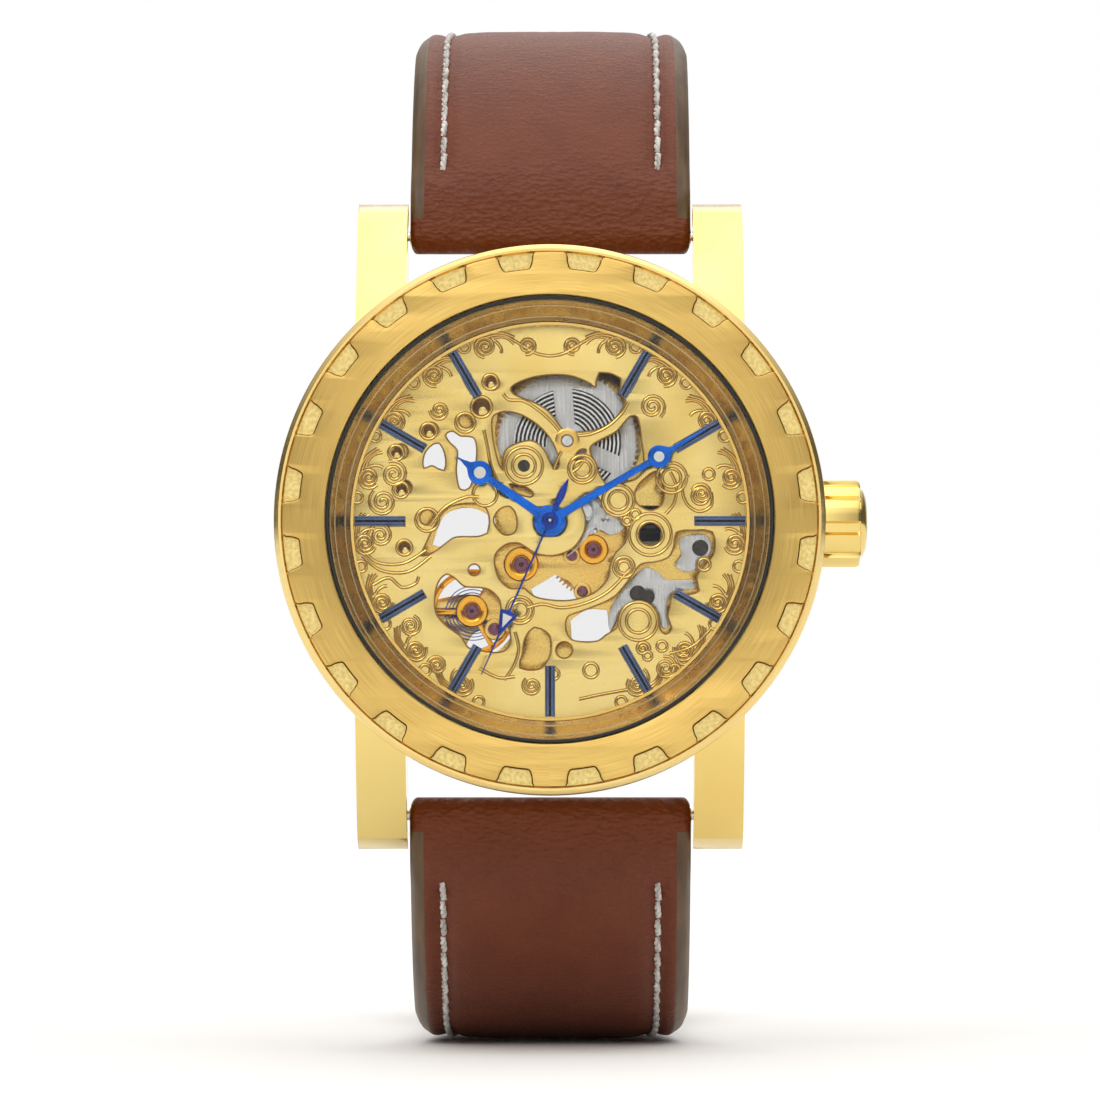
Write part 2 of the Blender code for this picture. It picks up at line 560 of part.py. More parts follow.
def make_main_plate():
    """Lower plate: it carries the front pivots and leaves the barrel and balance in view."""
    stem_view = [(6.9, -2.1), (10.2, -2.1), (10.2, 1.3), (6.9, 1.3)]
    barrel_view = [(-4.0, 10.2), (-1.8, 12.6), (1.6, 13.4), (5.0, 12.6), (7.4, 9.9),
                   (7.7, 6.6), (6.4, 3.4), (4.6, 2.9), (2.6, 3.6), (-0.2, 3.5),
                   (-3.0, 3.8), (-4.5, 6.6)]
    left = [(-10.2, 3.6), (-11.0, 5.6), (-9.6, 7.2), (-7.6, 7.7), (-6.1, 7.0),
            (-5.8, 4.4), (-6.6, 2.4), (-8.4, 2.6)]
    middle_left = [(-9.8, -1.9), (-8.8, 0.6), (-6.6, 1.2), (-4.6, 0.3), (-4.4, -1.5),
                   (-6.6, -1.7), (-8.0, -2.3)]
    balance_view = arc(*BALANCE, 3.9, 60, 330, 14) + arc(*BALANCE, 1.35, 330, 60, 7)
    escape_view = [(-1.6, -5.6), (0.4, -4.4), (1.9, -5.2), (2.4, -7.3), (0.9, -6.9),
                   (-0.9, -7.2)]
    lower = [(1.7, -8.2), (3.1, -7.3), (4.7, -7.3), (5.0, -9.2), (3.4, -10.4),
             (1.8, -9.8)]
    pivots = [circle(*at, JEWEL_HOLE_R, 8)
              for at in (THIRD, ESCAPE, PALLET, BALANCE, MINUTE_ARBOR)]
    hub = circle(*CENTRE, 0.5, 12)
    views = [stem_view, barrel_view, left, middle_left, balance_view, escape_view, lower]
    plate("main_plate", [circle(0, 0, PLATE_R, 48), hub] + views + pivots, MAIN_LOW, MAIN_TOP,
          "plate_gold")


def make_bridges():
    barrel = smooth([(-9.5, 12.9), (-3.0, 15.6), (4.6, 15.3), (10.6, 12.0), (14.2, 7.2),
                     (14.9, 2.6), (11.4, 1.95), (8.2, 1.95), (7.2, 1.2), (7.2, -0.5),
                     (6.6, -0.9), (5.9, -0.4), (5.2, 1.4), (4.0, 2.5), (1.2, 2.6), (-2.6, 3.4),
                     (-5.0, 6.4), (-8.2, 9.8)])
    make_bridge("barrel_bridge", barrel, [circle(*BARREL, 0.9, 12)], BARREL_FOOT)
    train = smooth([(-2.9, 1.9), (0.9, 1.6), (4.2, 0.4), (7.6, -2.6), (12.2, -3.6),
                    (15.2, -4.8), (13.0, -9.0), (9.0, -6.8), (5.2, -4.9), (1.4, -3.3),
                    (-1.2, -4.9), (-3.6, -4.4), (-3.9, -2.2)])
    jewels = [circle(*at, JEWEL_HOLE_R, 8) for at in (CENTRE, THIRD, ESCAPE)]
    make_bridge("train_bridge", train, jewels, TRAIN_FOOT)
    cock = smooth([(-5.2, -6.3), (-5.0, -8.4), (-6.6, -9.4), (-8.8, -12.6), (-12.6, -10.0),
                   (-14.0, -6.6), (-10.2, -6.4), (-7.4, -5.9)])
    make_bridge("balance_cock", cock, [circle(*BALANCE, JEWEL_HOLE_R, 8)], COCK_FOOT)
    pallet = [bar(PALLET, PALLET_FOOT, 1.5), circle(*PALLET, JEWEL_HOLE_R, 8)]
    cock = as_mesh(plate("pallet_cock", pallet, 5.55, 5.85, "plate_gold"))
    join(cock, turned("pallet_foot", disc(0.6, 5.7, MAIN_LOW - 0.05), None,
                      (*PALLET_FOOT, 0), steps=12))


def as_mesh(curve_object):
    """The same part as a welded mesh, so that it can take Booleans."""
    evaluated = curve_object.evaluated_get(bpy.context.evaluated_depsgraph_get())
    mesh = bpy.data.meshes.new_from_object(evaluated)
    built = bmesh.new()
    built.from_mesh(mesh)
    bmesh.ops.remove_doubles(built, verts=built.verts, dist=0.000001)
    built.to_mesh(mesh)
    built.free()
    name = curve_object.name
    made = bpy.data.objects.new(name, mesh)
    made.parent = BENCH
    made.location = curve_object.location
    made.rotation_euler = curve_object.rotation_euler
    bpy.data.objects.remove(curve_object, do_unlink=True)
    PARTS.objects.link(made)
    made.name = name
    return made


def make_bridge(name, outline, jewels, foot):
    """A bridge plate with its jewel holes, and a foot that its screw draws to the main plate."""
    hole = circle(*foot, 0.5, 10)
    made = as_mesh(plate(name, [outline, hole] + jewels, BRIDGE_LOW, BRIDGE_TOP, "plate_gold"))
    join(made, turned(name + "_foot", disc(0.9, BRIDGE_TOP - 0.02, MAIN_LOW - 0.05), None,
                      (*foot, 0), steps=16))


def make_keyless():
    lever = smooth([(10.7, -1.6), (11.3, -1.2), (12.3, -1.0), (13.2, -1.3), (13.4, -2.4),
                    (12.6, -3.5), (11.6, -4.2), (10.4, -3.7), (10.9, -2.8)])
    plate("setting_lever",
          [[(x - SETTING_PIVOT[0], y - SETTING_PIVOT[1]) for x, y in lever],
           circle(0, 0, 0.42, 10)], KEYLESS_LOW, KEYLESS_TOP, "steel", SETTING_PIVOT)
    yoke = smooth([(8.0, -3.8), (9.2, -4.4), (9.8, -4.9), (11.8, -4.9), (12.0, -5.6),
                   (10.3, -5.9), (9.7, -7.0), (9.9, -8.6), (9.3, -8.8), (8.6, -7.0),
                   (7.2, -6.9), (5.9, -7.6), (5.0, -9.2), (4.9, -7.6), (5.8, -5.9),
                   (7.0, -4.6)])
    plate("yoke", [[(x - YOKE_PIVOT[0], y - YOKE_PIVOT[1]) for x, y in yoke],
                   circle(0, 0, 0.42, 10)], KEYLESS_LOW, KEYLESS_TOP, "steel", YOKE_PIVOT)
    cover = smooth([(3.7, 2.0), (4.4, 1.2), (5.4, 1.1), (6.2, 0.3), (6.1, -0.6), (5.0, -1.1),
                    (3.8, -0.5), (3.1, -1.3), (1.9, -2.6), (1.3, -2.9), (2.4, -1.9),
                    (2.9, -0.5), (3.4, 0.2), (3.6, 1.0), (3.4, 1.7)])
    plate("jumper_cover", [cover, circle(4.6, 0.2, 0.3, 8)], KEYLESS_TOP - 0.15,
          KEYLESS_TOP + 0.07, "steel")


SCREWS = {
    "setting_lever_screw": (SETTING_PIVOT, 0.7, 8.22, 8.32, 0.36, 7.8),
    "yoke_screw": (YOKE_PIVOT, 0.7, 8.22, 8.32, 0.36, 7.8),
    "barrel_bridge_screw": (BARREL_FOOT, 0.9, 2.85, 3.1, 0.42, 3.8),
    "train_bridge_screw": (TRAIN_FOOT, 0.9, 2.85, 3.1, 0.42, 3.8),
    "balance_cock_screw": (COCK_FOOT, 0.9, 2.85, 3.1, 0.42, 3.8),
}


def make_screws():
    """Each screw is a flat head and the shank in its hole, without its slot."""
    for name, (at, head_r, head_low, head_top, shank_r, shank_end) in SCREWS.items():
        if shank_end < head_low:
            profile = [(0, head_top), (head_r, head_top), (head_r, head_low),
                       (shank_r, head_low), (shank_r, shank_end), (0, shank_end)]
        else:
            profile = [(0, shank_end), (shank_r, shank_end), (shank_r, head_top),
                       (head_r, head_top), (head_r, head_low), (0, head_low)]
        turned(name, profile, "dark_steel", (*at, 0), steps=12)


# ---------------------------------------------------------------- markers and hands
def make_markers():
    """Eleven hour batons that stand on one thin chapter ring at the edge of the dial."""
    ring_in, ring_out, half = 16.3, 16.6, MARKER_WIDTH / 2
    loop = []
    edge = math.degrees(half / ring_in)
    for hour in range(1, 13):
        start = 90 - 30 * hour
        if hour < 12:
            loop += rotated([(ring_in, half), (MARKER_IN, half), (MARKER_IN, -half),
                             (ring_in, -half)], start)
        loop += arc(0, 0, ring_in, start - edge - 1.0, start - 29 + edge, 4)
    plate("hour_markers", [circle(0, 0, ring_out, 48), loop], DIAL_TOP + 0.03, MARKER_TOP,
          "blued_steel")


def hand(name, angle, low, high, outline, bore):
    """A hand drawn pointing to 12 o'clock and turned clockwise by its angle."""
    loops = [outline, circle(0, 0, bore, 14)]
    plate(name, loops, low, high, "blued_steel", CENTRE, -math.radians(angle))


def spade(hub_r, bead_y, bead_r, tip, stem):
    """Outline of a hand with a round hub, a slim stem, a round bead and a pointed tip."""
    right = arc(0, 0, hub_r, -90, 90 - math.degrees(math.asin(stem / hub_r)), 8)
    lean = math.degrees(math.asin(stem / bead_r))
    right += arc(0, bead_y, bead_r, -90 + lean, 42, 6)
    right += [(0.16, bead_y + bead_r + 0.45), (0.08, tip - 0.1)]
    left = [(-x, y) for x, y in reversed(right[1:])]
    return right + [(0, tip)] + left


def make_hands():
    hand("hour_hand", HOUR_ANGLE, 9.4, 9.6, spade(1.32, 7.06, 1.0, 9.5, 0.3), 0.88)
    hand("minute_hand", MINUTE_ANGLE, 9.66, 9.84, spade(1.15, 10.5, 0.95, 15.2, 0.26), 0.37)
    half = 0.09
    arrow = [(half, 8.3), (0.75, 8.3), (half, 10.35), (half * 0.7, 14.0)]
    tail = [(0.32, -2.3), (0.12, -0.7)]
    hub = arc(0, 0, 0.7, -75, 82, 8)
    right = [(0.05, -3.75)] + tail + hub + arrow
    left = [(-x, y) for x, y in reversed(right)]
    hand("seconds_hand", SECONDS_ANGLE, 10.25, 10.42, right + left, 0.18)


# ---------------------------------------------------------------- strap and buckle
def heading(strap, s):
    """Angle of the strap from straight back, turning from the lug to its tail."""
    turn = strap["turn"]
    if s <= 0:
        return START_HEADING
    if s < turn:
        return START_HEADING * (1 - s / turn)
    return -strap["tail_bend"] * (s - turn)


def centreline(strap, s):
    """Centre of the strap at arc length s from its spring bar, as bench (y, z)."""
    step = 0.25
    y, z, done = SPRING_BAR_Y, SPRING_BAR_Z, 0.0
    if s <= 0:
        return (y + s * math.sin(START_HEADING), z - s * math.cos(START_HEADING))
    while done < s:
        piece = min(step, s - done)
        angle = heading(strap, done + piece / 2)
        y += piece * math.sin(angle)
        z -= piece * math.cos(angle)
        done += piece
    return (y, z)


def strap_point(strap, s, x, out):
    """Bench point at arc length s, x across and out away from the wrist."""
    y, z = centreline(strap, s)
    angle = heading(strap, s)
    y += out * math.cos(angle)
    z += out * math.sin(angle)
    return Vector((x, strap["side"] * y, z))


def strap_width(s):
    t = min(1.0, max(0.0, (s - 24.0) / 36.0))
    return STRAP_WIDTH + (STRAP_END_WIDTH - STRAP_WIDTH) * t


def strap_thickness(s):
    """Thin round the spring bar, thickest at the shoulder, then tapering to the tail."""
    grown = min(1.0, max(0.0, s / SHOULDER_S))
    thinned = min(1.0, max(0.0, (s - 6.0) / 44.0))
    return (2 * FOLD_R + (STRAP_THICK - 2 * FOLD_R) * grown
            - (STRAP_THICK - STRAP_END_THICK) * thinned)


def fold_stations(radius, at, way):
    """Stations round a fold: (arc length, half thickness) from its tip to its middle."""
    angles = [math.radians(a) for a in (14, 34, 58)]
    return [(at - way * radius * math.cos(a), radius * math.sin(a)) for a in angles]


def loft(name, strap, stations):
    """Skin of eight-sided sections at (arc length, half thickness, half width)."""
    built = bmesh.new()
    rings = []
    for s, half_t, half_w in stations:
        bevel = min(0.45, half_t * 0.45)
        section = [(half_w - bevel, half_t), (half_w, half_t - bevel),
                   (half_w, bevel - half_t), (half_w - bevel, -half_t)]
        section += [(-x, t) for x, t in reversed(section)]
        rings.append([built.verts.new(strap_point(strap, s, x, t) * MM) for x, t in section])
    for near, far in zip(rings, rings[1:]):
        for i in range(8):
            j = (i + 1) % 8
            built.faces.new((near[i], near[j], far[j], far[i]))
    built.faces.new(rings[0])
    built.faces.new(rings[-1])
    bmesh.ops.recalc_face_normals(built, faces=built.faces)
    mesh = bpy.data.meshes.new(name)
    built.to_mesh(mesh)
    built.free()
    return place(name, mesh, "leather")


def body_stations(strap, start, end):
    count = round((end - start) / 4.0)
    values = [start + (end - start) * i / count for i in range(count + 1)]
    return [(s, strap_thickness(s) / 2, strap_width(s) / 2) for s in values]


def lug_fold(strap):
    width = STRAP_WIDTH / 2
    return [(s, t, width) for s, t in fold_stations(FOLD_R, 0.0, 1)]


def spring_tunnel(strap, name):
    y, z = strap["side"] * SPRING_BAR_Y, SPRING_BAR_Z
    return rod_x(name, SPRING_BAR_R + 0.25, -13, 13, None, y, z, 16)


def buckle_frame_place():
    """Bench location and x rotation of the buckle's bar at the end of the upper strap."""
    s = UPPER["length"]
    y, z = centreline(UPPER, s)
    return (0, y, z), heading(UPPER, s) - math.pi / 2


def make_upper_strap():
    end = UPPER["length"]
    stations = lug_fold(UPPER) + body_stations(UPPER, 0.0, end)
    closing = [(s, t, STRAP_END_WIDTH / 2)
               for s, t in reversed(fold_stations(STRAP_END_THICK / 2, end, -1))]
    strap = loft("strap_upper", UPPER, stations + closing)
    at, turn = buckle_frame_place()
    bar_tunnel = turned("buckle_bar_tunnel", disc(BUCKLE_BAR_R + 0.15, -13, 13), None, at,
                        ALONG_X, 12)
    slot = [(-1.5, -6.0), (1.5, -6.0), (1.5, 4.0), (-1.5, 4.0)]
    tongue_slot = prism("tongue_slot", [slot], -4.0, 4.0, None, at, (turn, 0, 0))
    cut(strap, spring_tunnel(UPPER, "upper_tunnel"), bar_tunnel, tongue_slot)


def make_lower_strap():
    end, tip = LOWER["length"], 11.0
    stations = lug_fold(LOWER) + body_stations(LOWER, 0.0, end - tip)
    for share in (0.25, 0.5, 0.7, 0.85, 0.95, 1.0):
        half = STRAP_END_WIDTH / 2 * math.sqrt(max(0.04, 1 - share ** 2))
        stations.append((end - tip + tip * share, STRAP_END_THICK / 2, half))
    strap = loft("strap_lower", LOWER, stations)
    holes = []
    for i in range(HOLE_COUNT):
        s = FIRST_HOLE_S + HOLE_PITCH * i
        at = strap_point(LOWER, s, 0, 0)
        turn = math.pi / 2 - heading(LOWER, s)
        holes.append(turned(f"strap_hole_{i + 1}", disc(0.9, -4, 4), None, at, (turn, 0, 0), 8))
    cut(strap, spring_tunnel(LOWER, "lower_tunnel"), *holes)


def make_spring_bars():
    half, pivot = LUG_GAP / 2 - 0.15, LUG_GAP / 2 + 0.9
    profile = [(0, pivot), (SPRING_PIVOT_R, pivot), (SPRING_PIVOT_R, half),
               (SPRING_BAR_R, half), (SPRING_BAR_R, -half), (SPRING_PIVOT_R, -half),
               (SPRING_PIVOT_R, -pivot), (0, -pivot)]
    for name, side in (("spring_bar_upper", 1), ("spring_bar_lower", -1)):
        turned(name, profile, "steel", (0, side * SPRING_BAR_Y, SPRING_BAR_Z), ALONG_X, 14)


def make_buckle():
    at, turn = buckle_frame_place()
    inner, arm, rear, front = STRAP_END_WIDTH / 2 + 0.35, 2.0, -1.3, BUCKLE_LENGTH
    outer = inner + arm
    frame = [(-outer, rear), (-inner, rear), (-inner, front - 2.4), (inner, front - 2.4),
             (inner, rear), (outer, rear), (outer, front - 0.8), (outer - 0.8, front),
             (0.8 - outer, front), (-outer, front - 0.8)]
    buckle = prism("buckle_frame", [frame], -1.2, 1.2, "case_gold", at, (turn, 0, 0))
    cut(buckle, turned("buckle_bar_holes", disc(0.6, -outer - 1, outer + 1), None, at,
                       ALONG_X, 12))
    half, pivot = inner - 0.1, outer - 0.3
    profile = [(0, pivot), (0.5, pivot), (0.5, half), (BUCKLE_BAR_R, half),
               (BUCKLE_BAR_R, -half), (0.5, -half), (0.5, -pivot), (0, -pivot)]
    turned("buckle_spring_bar", profile, "steel", at, ALONG_X, 14)
    eye, over = 1.35, 1.3
    side = arc(0, 0, eye, 75, 320, 10)
    side += [(front - 3.1, over), (front - 0.4, over), (front + 0.5, over + 0.2),
             (front + 0.5, over + 0.9), (front - 2.6, over + 0.9)]
    tongue = prism("buckle_tongue", [side], -1.05, 1.05, "case_gold", at, upright_turn(turn))
    cut(tongue, turned("tongue_eye", disc(BUCKLE_BAR_R + 0.1, -3, 3), None, at, ALONG_X, 12))


def upright_turn(turn):
    """Rotation that stands a side outline (along, out) on the strap at an x rotation."""
    side_to_bench = Matrix(((0, 0, 1), (1, 0, 0), (0, 1, 0)))
    return (Matrix.Rotation(turn, 3, "X") @ side_to_bench).to_euler()


def make_keeper(name, s, width):
    half_w = strap_width(s) / 2 + 0.5
    thick = strap_thickness(s) / 2
    low, high = -thick - 0.5, thick + 2.7
    y, z = centreline(UPPER, s)
    wall = 0.9
    inner = [(-half_w, low), (half_w, low), (half_w, high), (-half_w, high)]
    outer = [(-half_w - wall, low - wall), (half_w + wall, low - wall),
             (half_w + wall, high + wall), (-half_w - wall, high + wall)]
    made = plate(name, [outer, inner], -width / 2, width / 2, "leather")
    made.location = Vector((0, y, z)) * MM
    made.rotation_euler = (heading(UPPER, s), 0, 0)


# ---------------------------------------------------------------- build
def main():
    make_case()
    make_bezel()
    make_crystal()
    make_case_back()
    make_crown()
    make_winding()
    make_barrel()
    make_mainspring()
    make_train()
    make_escapement()
    make_motion_work()
    make_dial_plate()
    make_main_plate()
    make_bridges()
    make_keyless()
    make_screws()
    make_markers()
    make_hands()
    make_upper_strap()
    make_lower_strap()
    make_spring_bars()
    make_buckle()
    make_keeper("keeper_fixed", FIXED_KEEPER_S, KEEPER_WIDTH)
    make_keeper("keeper_free", FREE_KEEPER_S, KEEPER_WIDTH)


main()
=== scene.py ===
"""Looks of the skeleton wristwatch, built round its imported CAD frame.

Shapes are worked out on the watchmaker's bench, in millimetres: x to 3 o'clock, y to
12 o'clock and z towards the viewer. solid() turns them upright into the row frame.
"""
import functools
import json
import math

import bmesh
import bpy
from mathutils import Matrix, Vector, noise

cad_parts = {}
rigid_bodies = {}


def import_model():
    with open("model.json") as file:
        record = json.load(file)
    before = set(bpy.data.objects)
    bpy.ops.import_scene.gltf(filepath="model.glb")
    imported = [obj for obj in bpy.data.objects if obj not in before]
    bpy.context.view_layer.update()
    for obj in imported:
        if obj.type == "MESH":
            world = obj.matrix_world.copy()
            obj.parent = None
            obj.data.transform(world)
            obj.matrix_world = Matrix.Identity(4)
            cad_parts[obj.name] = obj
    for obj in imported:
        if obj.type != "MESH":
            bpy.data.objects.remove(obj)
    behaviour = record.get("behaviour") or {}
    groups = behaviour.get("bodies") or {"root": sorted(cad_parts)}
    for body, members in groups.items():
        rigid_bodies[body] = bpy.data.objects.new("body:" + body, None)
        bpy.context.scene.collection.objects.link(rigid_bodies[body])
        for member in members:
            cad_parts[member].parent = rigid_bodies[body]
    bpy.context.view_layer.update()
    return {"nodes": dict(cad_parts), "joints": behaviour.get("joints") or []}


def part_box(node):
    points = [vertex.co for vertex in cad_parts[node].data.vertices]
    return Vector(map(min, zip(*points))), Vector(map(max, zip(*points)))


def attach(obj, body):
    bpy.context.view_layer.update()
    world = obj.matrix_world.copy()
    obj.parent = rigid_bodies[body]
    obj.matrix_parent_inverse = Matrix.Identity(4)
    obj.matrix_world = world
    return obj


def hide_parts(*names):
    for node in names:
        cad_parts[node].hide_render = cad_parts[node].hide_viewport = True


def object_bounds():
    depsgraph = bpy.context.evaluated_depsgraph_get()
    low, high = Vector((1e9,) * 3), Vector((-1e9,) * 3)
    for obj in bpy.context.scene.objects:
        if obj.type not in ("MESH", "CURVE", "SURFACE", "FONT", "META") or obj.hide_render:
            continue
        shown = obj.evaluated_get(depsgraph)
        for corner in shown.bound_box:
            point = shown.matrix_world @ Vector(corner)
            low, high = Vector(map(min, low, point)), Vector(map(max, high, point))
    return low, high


MM = 0.001
TAU = 2 * math.pi


def plain_scene():
    for old in list(bpy.data.objects):
        bpy.data.objects.remove(old, do_unlink=True)


plain_scene()
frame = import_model()


# ---------------------------------------------------------------- reading the frame
def bench(point):
    """A row-frame point in metres as a bench point in millimetres."""
    return Vector((point[0], point[2], -point[1])) / MM


def span(node):
    """Lowest and highest bench corner of a CAD node."""
    low, high = (bench(corner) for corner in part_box(node))
    return (Vector((low.x, low.y, high.z)), Vector((high.x, high.y, low.z)))


def middle(node):
    low, high = span(node)
    return (low + high) / 2


def radius_of(node):
    low, high = span(node)
    return (high.x - low.x) / 2


JOINTS = {joint["name"]: joint for joint in frame["joints"]}


def joint_at(name):
    """Bench point of a joint's axis."""
    return bench(JOINTS[name]["pos_m"])


# ---------------------------------------------------------------- materials
def linear(red, green, blue):
    """Scene-linear colour of an 8-bit display colour."""
    def one(value):
        value /= 255
        return value / 12.92 if value <= 0.04045 else ((value + 0.055) / 1.055) ** 2.4
    return (one(red), one(green), one(blue), 1)


def shader_of(name, colour, roughness, metallic=0.0, **sockets):
    """A Principled material; keywords set further sockets, with _ for spaces."""
    made = bpy.data.materials.new(name)
    made.use_nodes = True
    shader = made.node_tree.nodes["Principled BSDF"]
    shader.inputs["Base Color"].default_value = colour
    shader.inputs["Roughness"].default_value = roughness
    shader.inputs["Metallic"].default_value = metallic
    for socket, value in sockets.items():
        shader.inputs[socket.replace("_", " ")].default_value = value
    return made


def add(made, kind, inputs=None, **settings):
    """A new node; inputs maps a socket to a value or to another node's output."""
    node = made.node_tree.nodes.new(kind)
    for name, value in settings.items():
        setattr(node, name, value)
    for socket, value in (inputs or {}).items():
        if isinstance(value, bpy.types.NodeSocket):
            made.node_tree.links.new(value, node.inputs[socket])
        else:
            node.inputs[socket].default_value = value
    return node


def feed(made, socket, output):
    shader = made.node_tree.nodes["Principled BSDF"]
    made.node_tree.links.new(output, shader.inputs[socket])


def ramp(made, value, low, high, start, end):
    """Maps a value from low..high to start..end."""
    return add(made, "ShaderNodeMapRange", {"Value": value, "From Min": low, "From Max": high,
                                            "To Min": start, "To Max": end}).outputs["Result"]


def blend_colour(made, share, first, second):
    """A colour mix of two colours or outputs."""
    node = add(made, "ShaderNodeMix", data_type="RGBA")
    for socket, value in ((0, share), (6, first), (7, second)):
        if isinstance(value, bpy.types.NodeSocket):
            made.node_tree.links.new(value, node.inputs[socket])
        else:
            node.inputs[socket].default_value = value
    return node.outputs[2]


def grain(made, scale, detail=3.0, stretch=(1, 1, 1), space="Object"):
    """Noise over the object, stretched along each axis."""
    where = add(made, "ShaderNodeTexCoord").outputs[space]
    mapped = add(made, "ShaderNodeMapping", {"Vector": where, "Scale": stretch})
    return add(made, "ShaderNodeTexNoise", {"Vector": mapped.outputs[0], "Scale": scale,
                                            "Detail": detail}).outputs["Fac"]


def polar(made, ring_scale, turn_scale):
    """Noise drawn out round the watch's axis, as circular brushing leaves it."""
    where = add(made, "ShaderNodeTexCoord").outputs["Object"]
    split = add(made, "ShaderNodeSeparateXYZ", {0: where})
    angle = add(made, "ShaderNodeMath", {0: split.outputs["X"], 1: split.outputs["Z"]},
                operation="ARCTAN2").outputs[0]
    flat = add(made, "ShaderNodeCombineXYZ", {"X": split.outputs["X"], "Y": split.outputs["Z"]})
    out = add(made, "ShaderNodeVectorMath", {0: flat.outputs[0]}, operation="LENGTH")
    rings = add(made, "ShaderNodeMath", {0: out.outputs["Value"], 1: ring_scale},
                operation="MULTIPLY").outputs[0]
    turns = add(made, "ShaderNodeMath", {0: angle, 1: turn_scale}, operation="MULTIPLY")
    spread = add(made, "ShaderNodeCombineXYZ", {"X": rings, "Y": turns.outputs[0]})
    return add(made, "ShaderNodeTexNoise", {"Vector": spread.outputs[0], "Scale": 1.0,
                                            "Detail": 4.0}).outputs["Fac"]


def bumped(made, height, strength, distance=0.0001):
    bump = add(made, "ShaderNodeBump", {"Height": height, "Strength": strength,
                                        "Distance": distance})
    feed(made, "Normal", bump.outputs[0])


def faded(colour, shares):
    """A colour with its red, green and blue each turned down by a share."""
    return (*(channel * share for channel, share in zip(colour, shares)), 1)


def tint(made, value, low, high, first, second):
    """A base colour that goes from the first to the second as a value goes low to high."""
    share = ramp(made, value, low, high, 0, 1)
    feed(made, "Base Color", blend_colour(made, share, first, second))


def roughen(made, value, low, high, start, end):
    feed(made, "Roughness", ramp(made, value, low, high, start, end))


def polished_gold(name, colour, roughness):
    """Plated and polished, with faint wipe marks and a slight drift in colour."""
    made = shader_of(name, colour, roughness, 1.0)
    tint(made, grain(made, 90, 2), 0.35, 0.7, colour, faded(colour, (0.95, 0.88, 0.75)))
    marks = grain(made, 900, 5)
    roughen(made, marks, 0.3, 0.75, roughness * 0.7, roughness * 1.5)
    bumped(made, marks, 0.03)
    return made


def circular_brushed(name, colour, worn):
    made = shader_of(name, colour, 0.48, 1.0, Anisotropic=0.85, Anisotropic_Rotation=0.25)
    lines = polar(made, 26000, 5)
    feed(made, "Tangent", add(made, "ShaderNodeTangent", direction_type="RADIAL",
                              axis="Y").outputs[0])
    roughen(made, lines, 0.3, 0.7, 0.4, 0.56)
    tint(made, lines, 0.35, 0.65, colour, worn)
    bumped(made, lines, 0.14, 0.00004)
    return made


def straight_brushed(name, colour, stretch, roughness):
    """Metal brushed along one axis: the axis with the small stretch."""
    made = shader_of(name, colour, roughness, 1.0)
    lines = grain(made, 1000, 4, stretch)
    roughen(made, lines, 0.3, 0.7, roughness * 0.75, roughness * 1.3)
    tint(made, lines, 0.3, 0.7, colour, faded(colour, (0.82, 0.82, 0.82)))
    bumped(made, lines, 0.12, 0.00004)
    return made


def stippled_gold(name, colour, raised, sunk):
    """The blasted floor of the bezel's notches."""
    made = shader_of(name, colour, 0.42, 1.0)
    pits = grain(made, 3200, 4)
    feed(made, "Base Color", blend_colour(made, ramp(made, pits, 0.35, 0.6, 1, 0), raised, sunk))
    bumped(made, pits, 0.22, 0.00008)
    return made


def plate_gold(name, colour, roughness):
    """Gilt plate with a fine frosted grain under its polish."""
    made = shader_of(name, colour, roughness, 1.0)
    fine = grain(made, 5200, 3)
    roughen(made, fine, 0.3, 0.7, roughness * 0.75, roughness * 1.4)
    tint(made, grain(made, 160, 2), 0.35, 0.7, colour, linear(236, 204, 116))
    bumped(made, fine, 0.05, 0.00003)
    return made


def painted_shade_gold(name, dark, light):
    """Painted shade: dark gold with a grain towards a lighter one, laid where shadow falls in
    engraving, crevices and recesses.
    """
    made = shader_of(name, dark, 0.38, 1.0)
    feed(made, "Base Color", blend_colour(made, grain(made, 700, 3), dark, light))
    return made


def blued(name, colour, roughness):
    made = shader_of(name, colour, roughness, 1.0)
    drift = grain(made, 500, 3)
    tint(made, drift, 0.3, 0.7, colour, faded(colour, (0.6, 0.6, 0.6)))
    roughen(made, drift, 0.3, 0.7, roughness, roughness * 1.6)
    return made


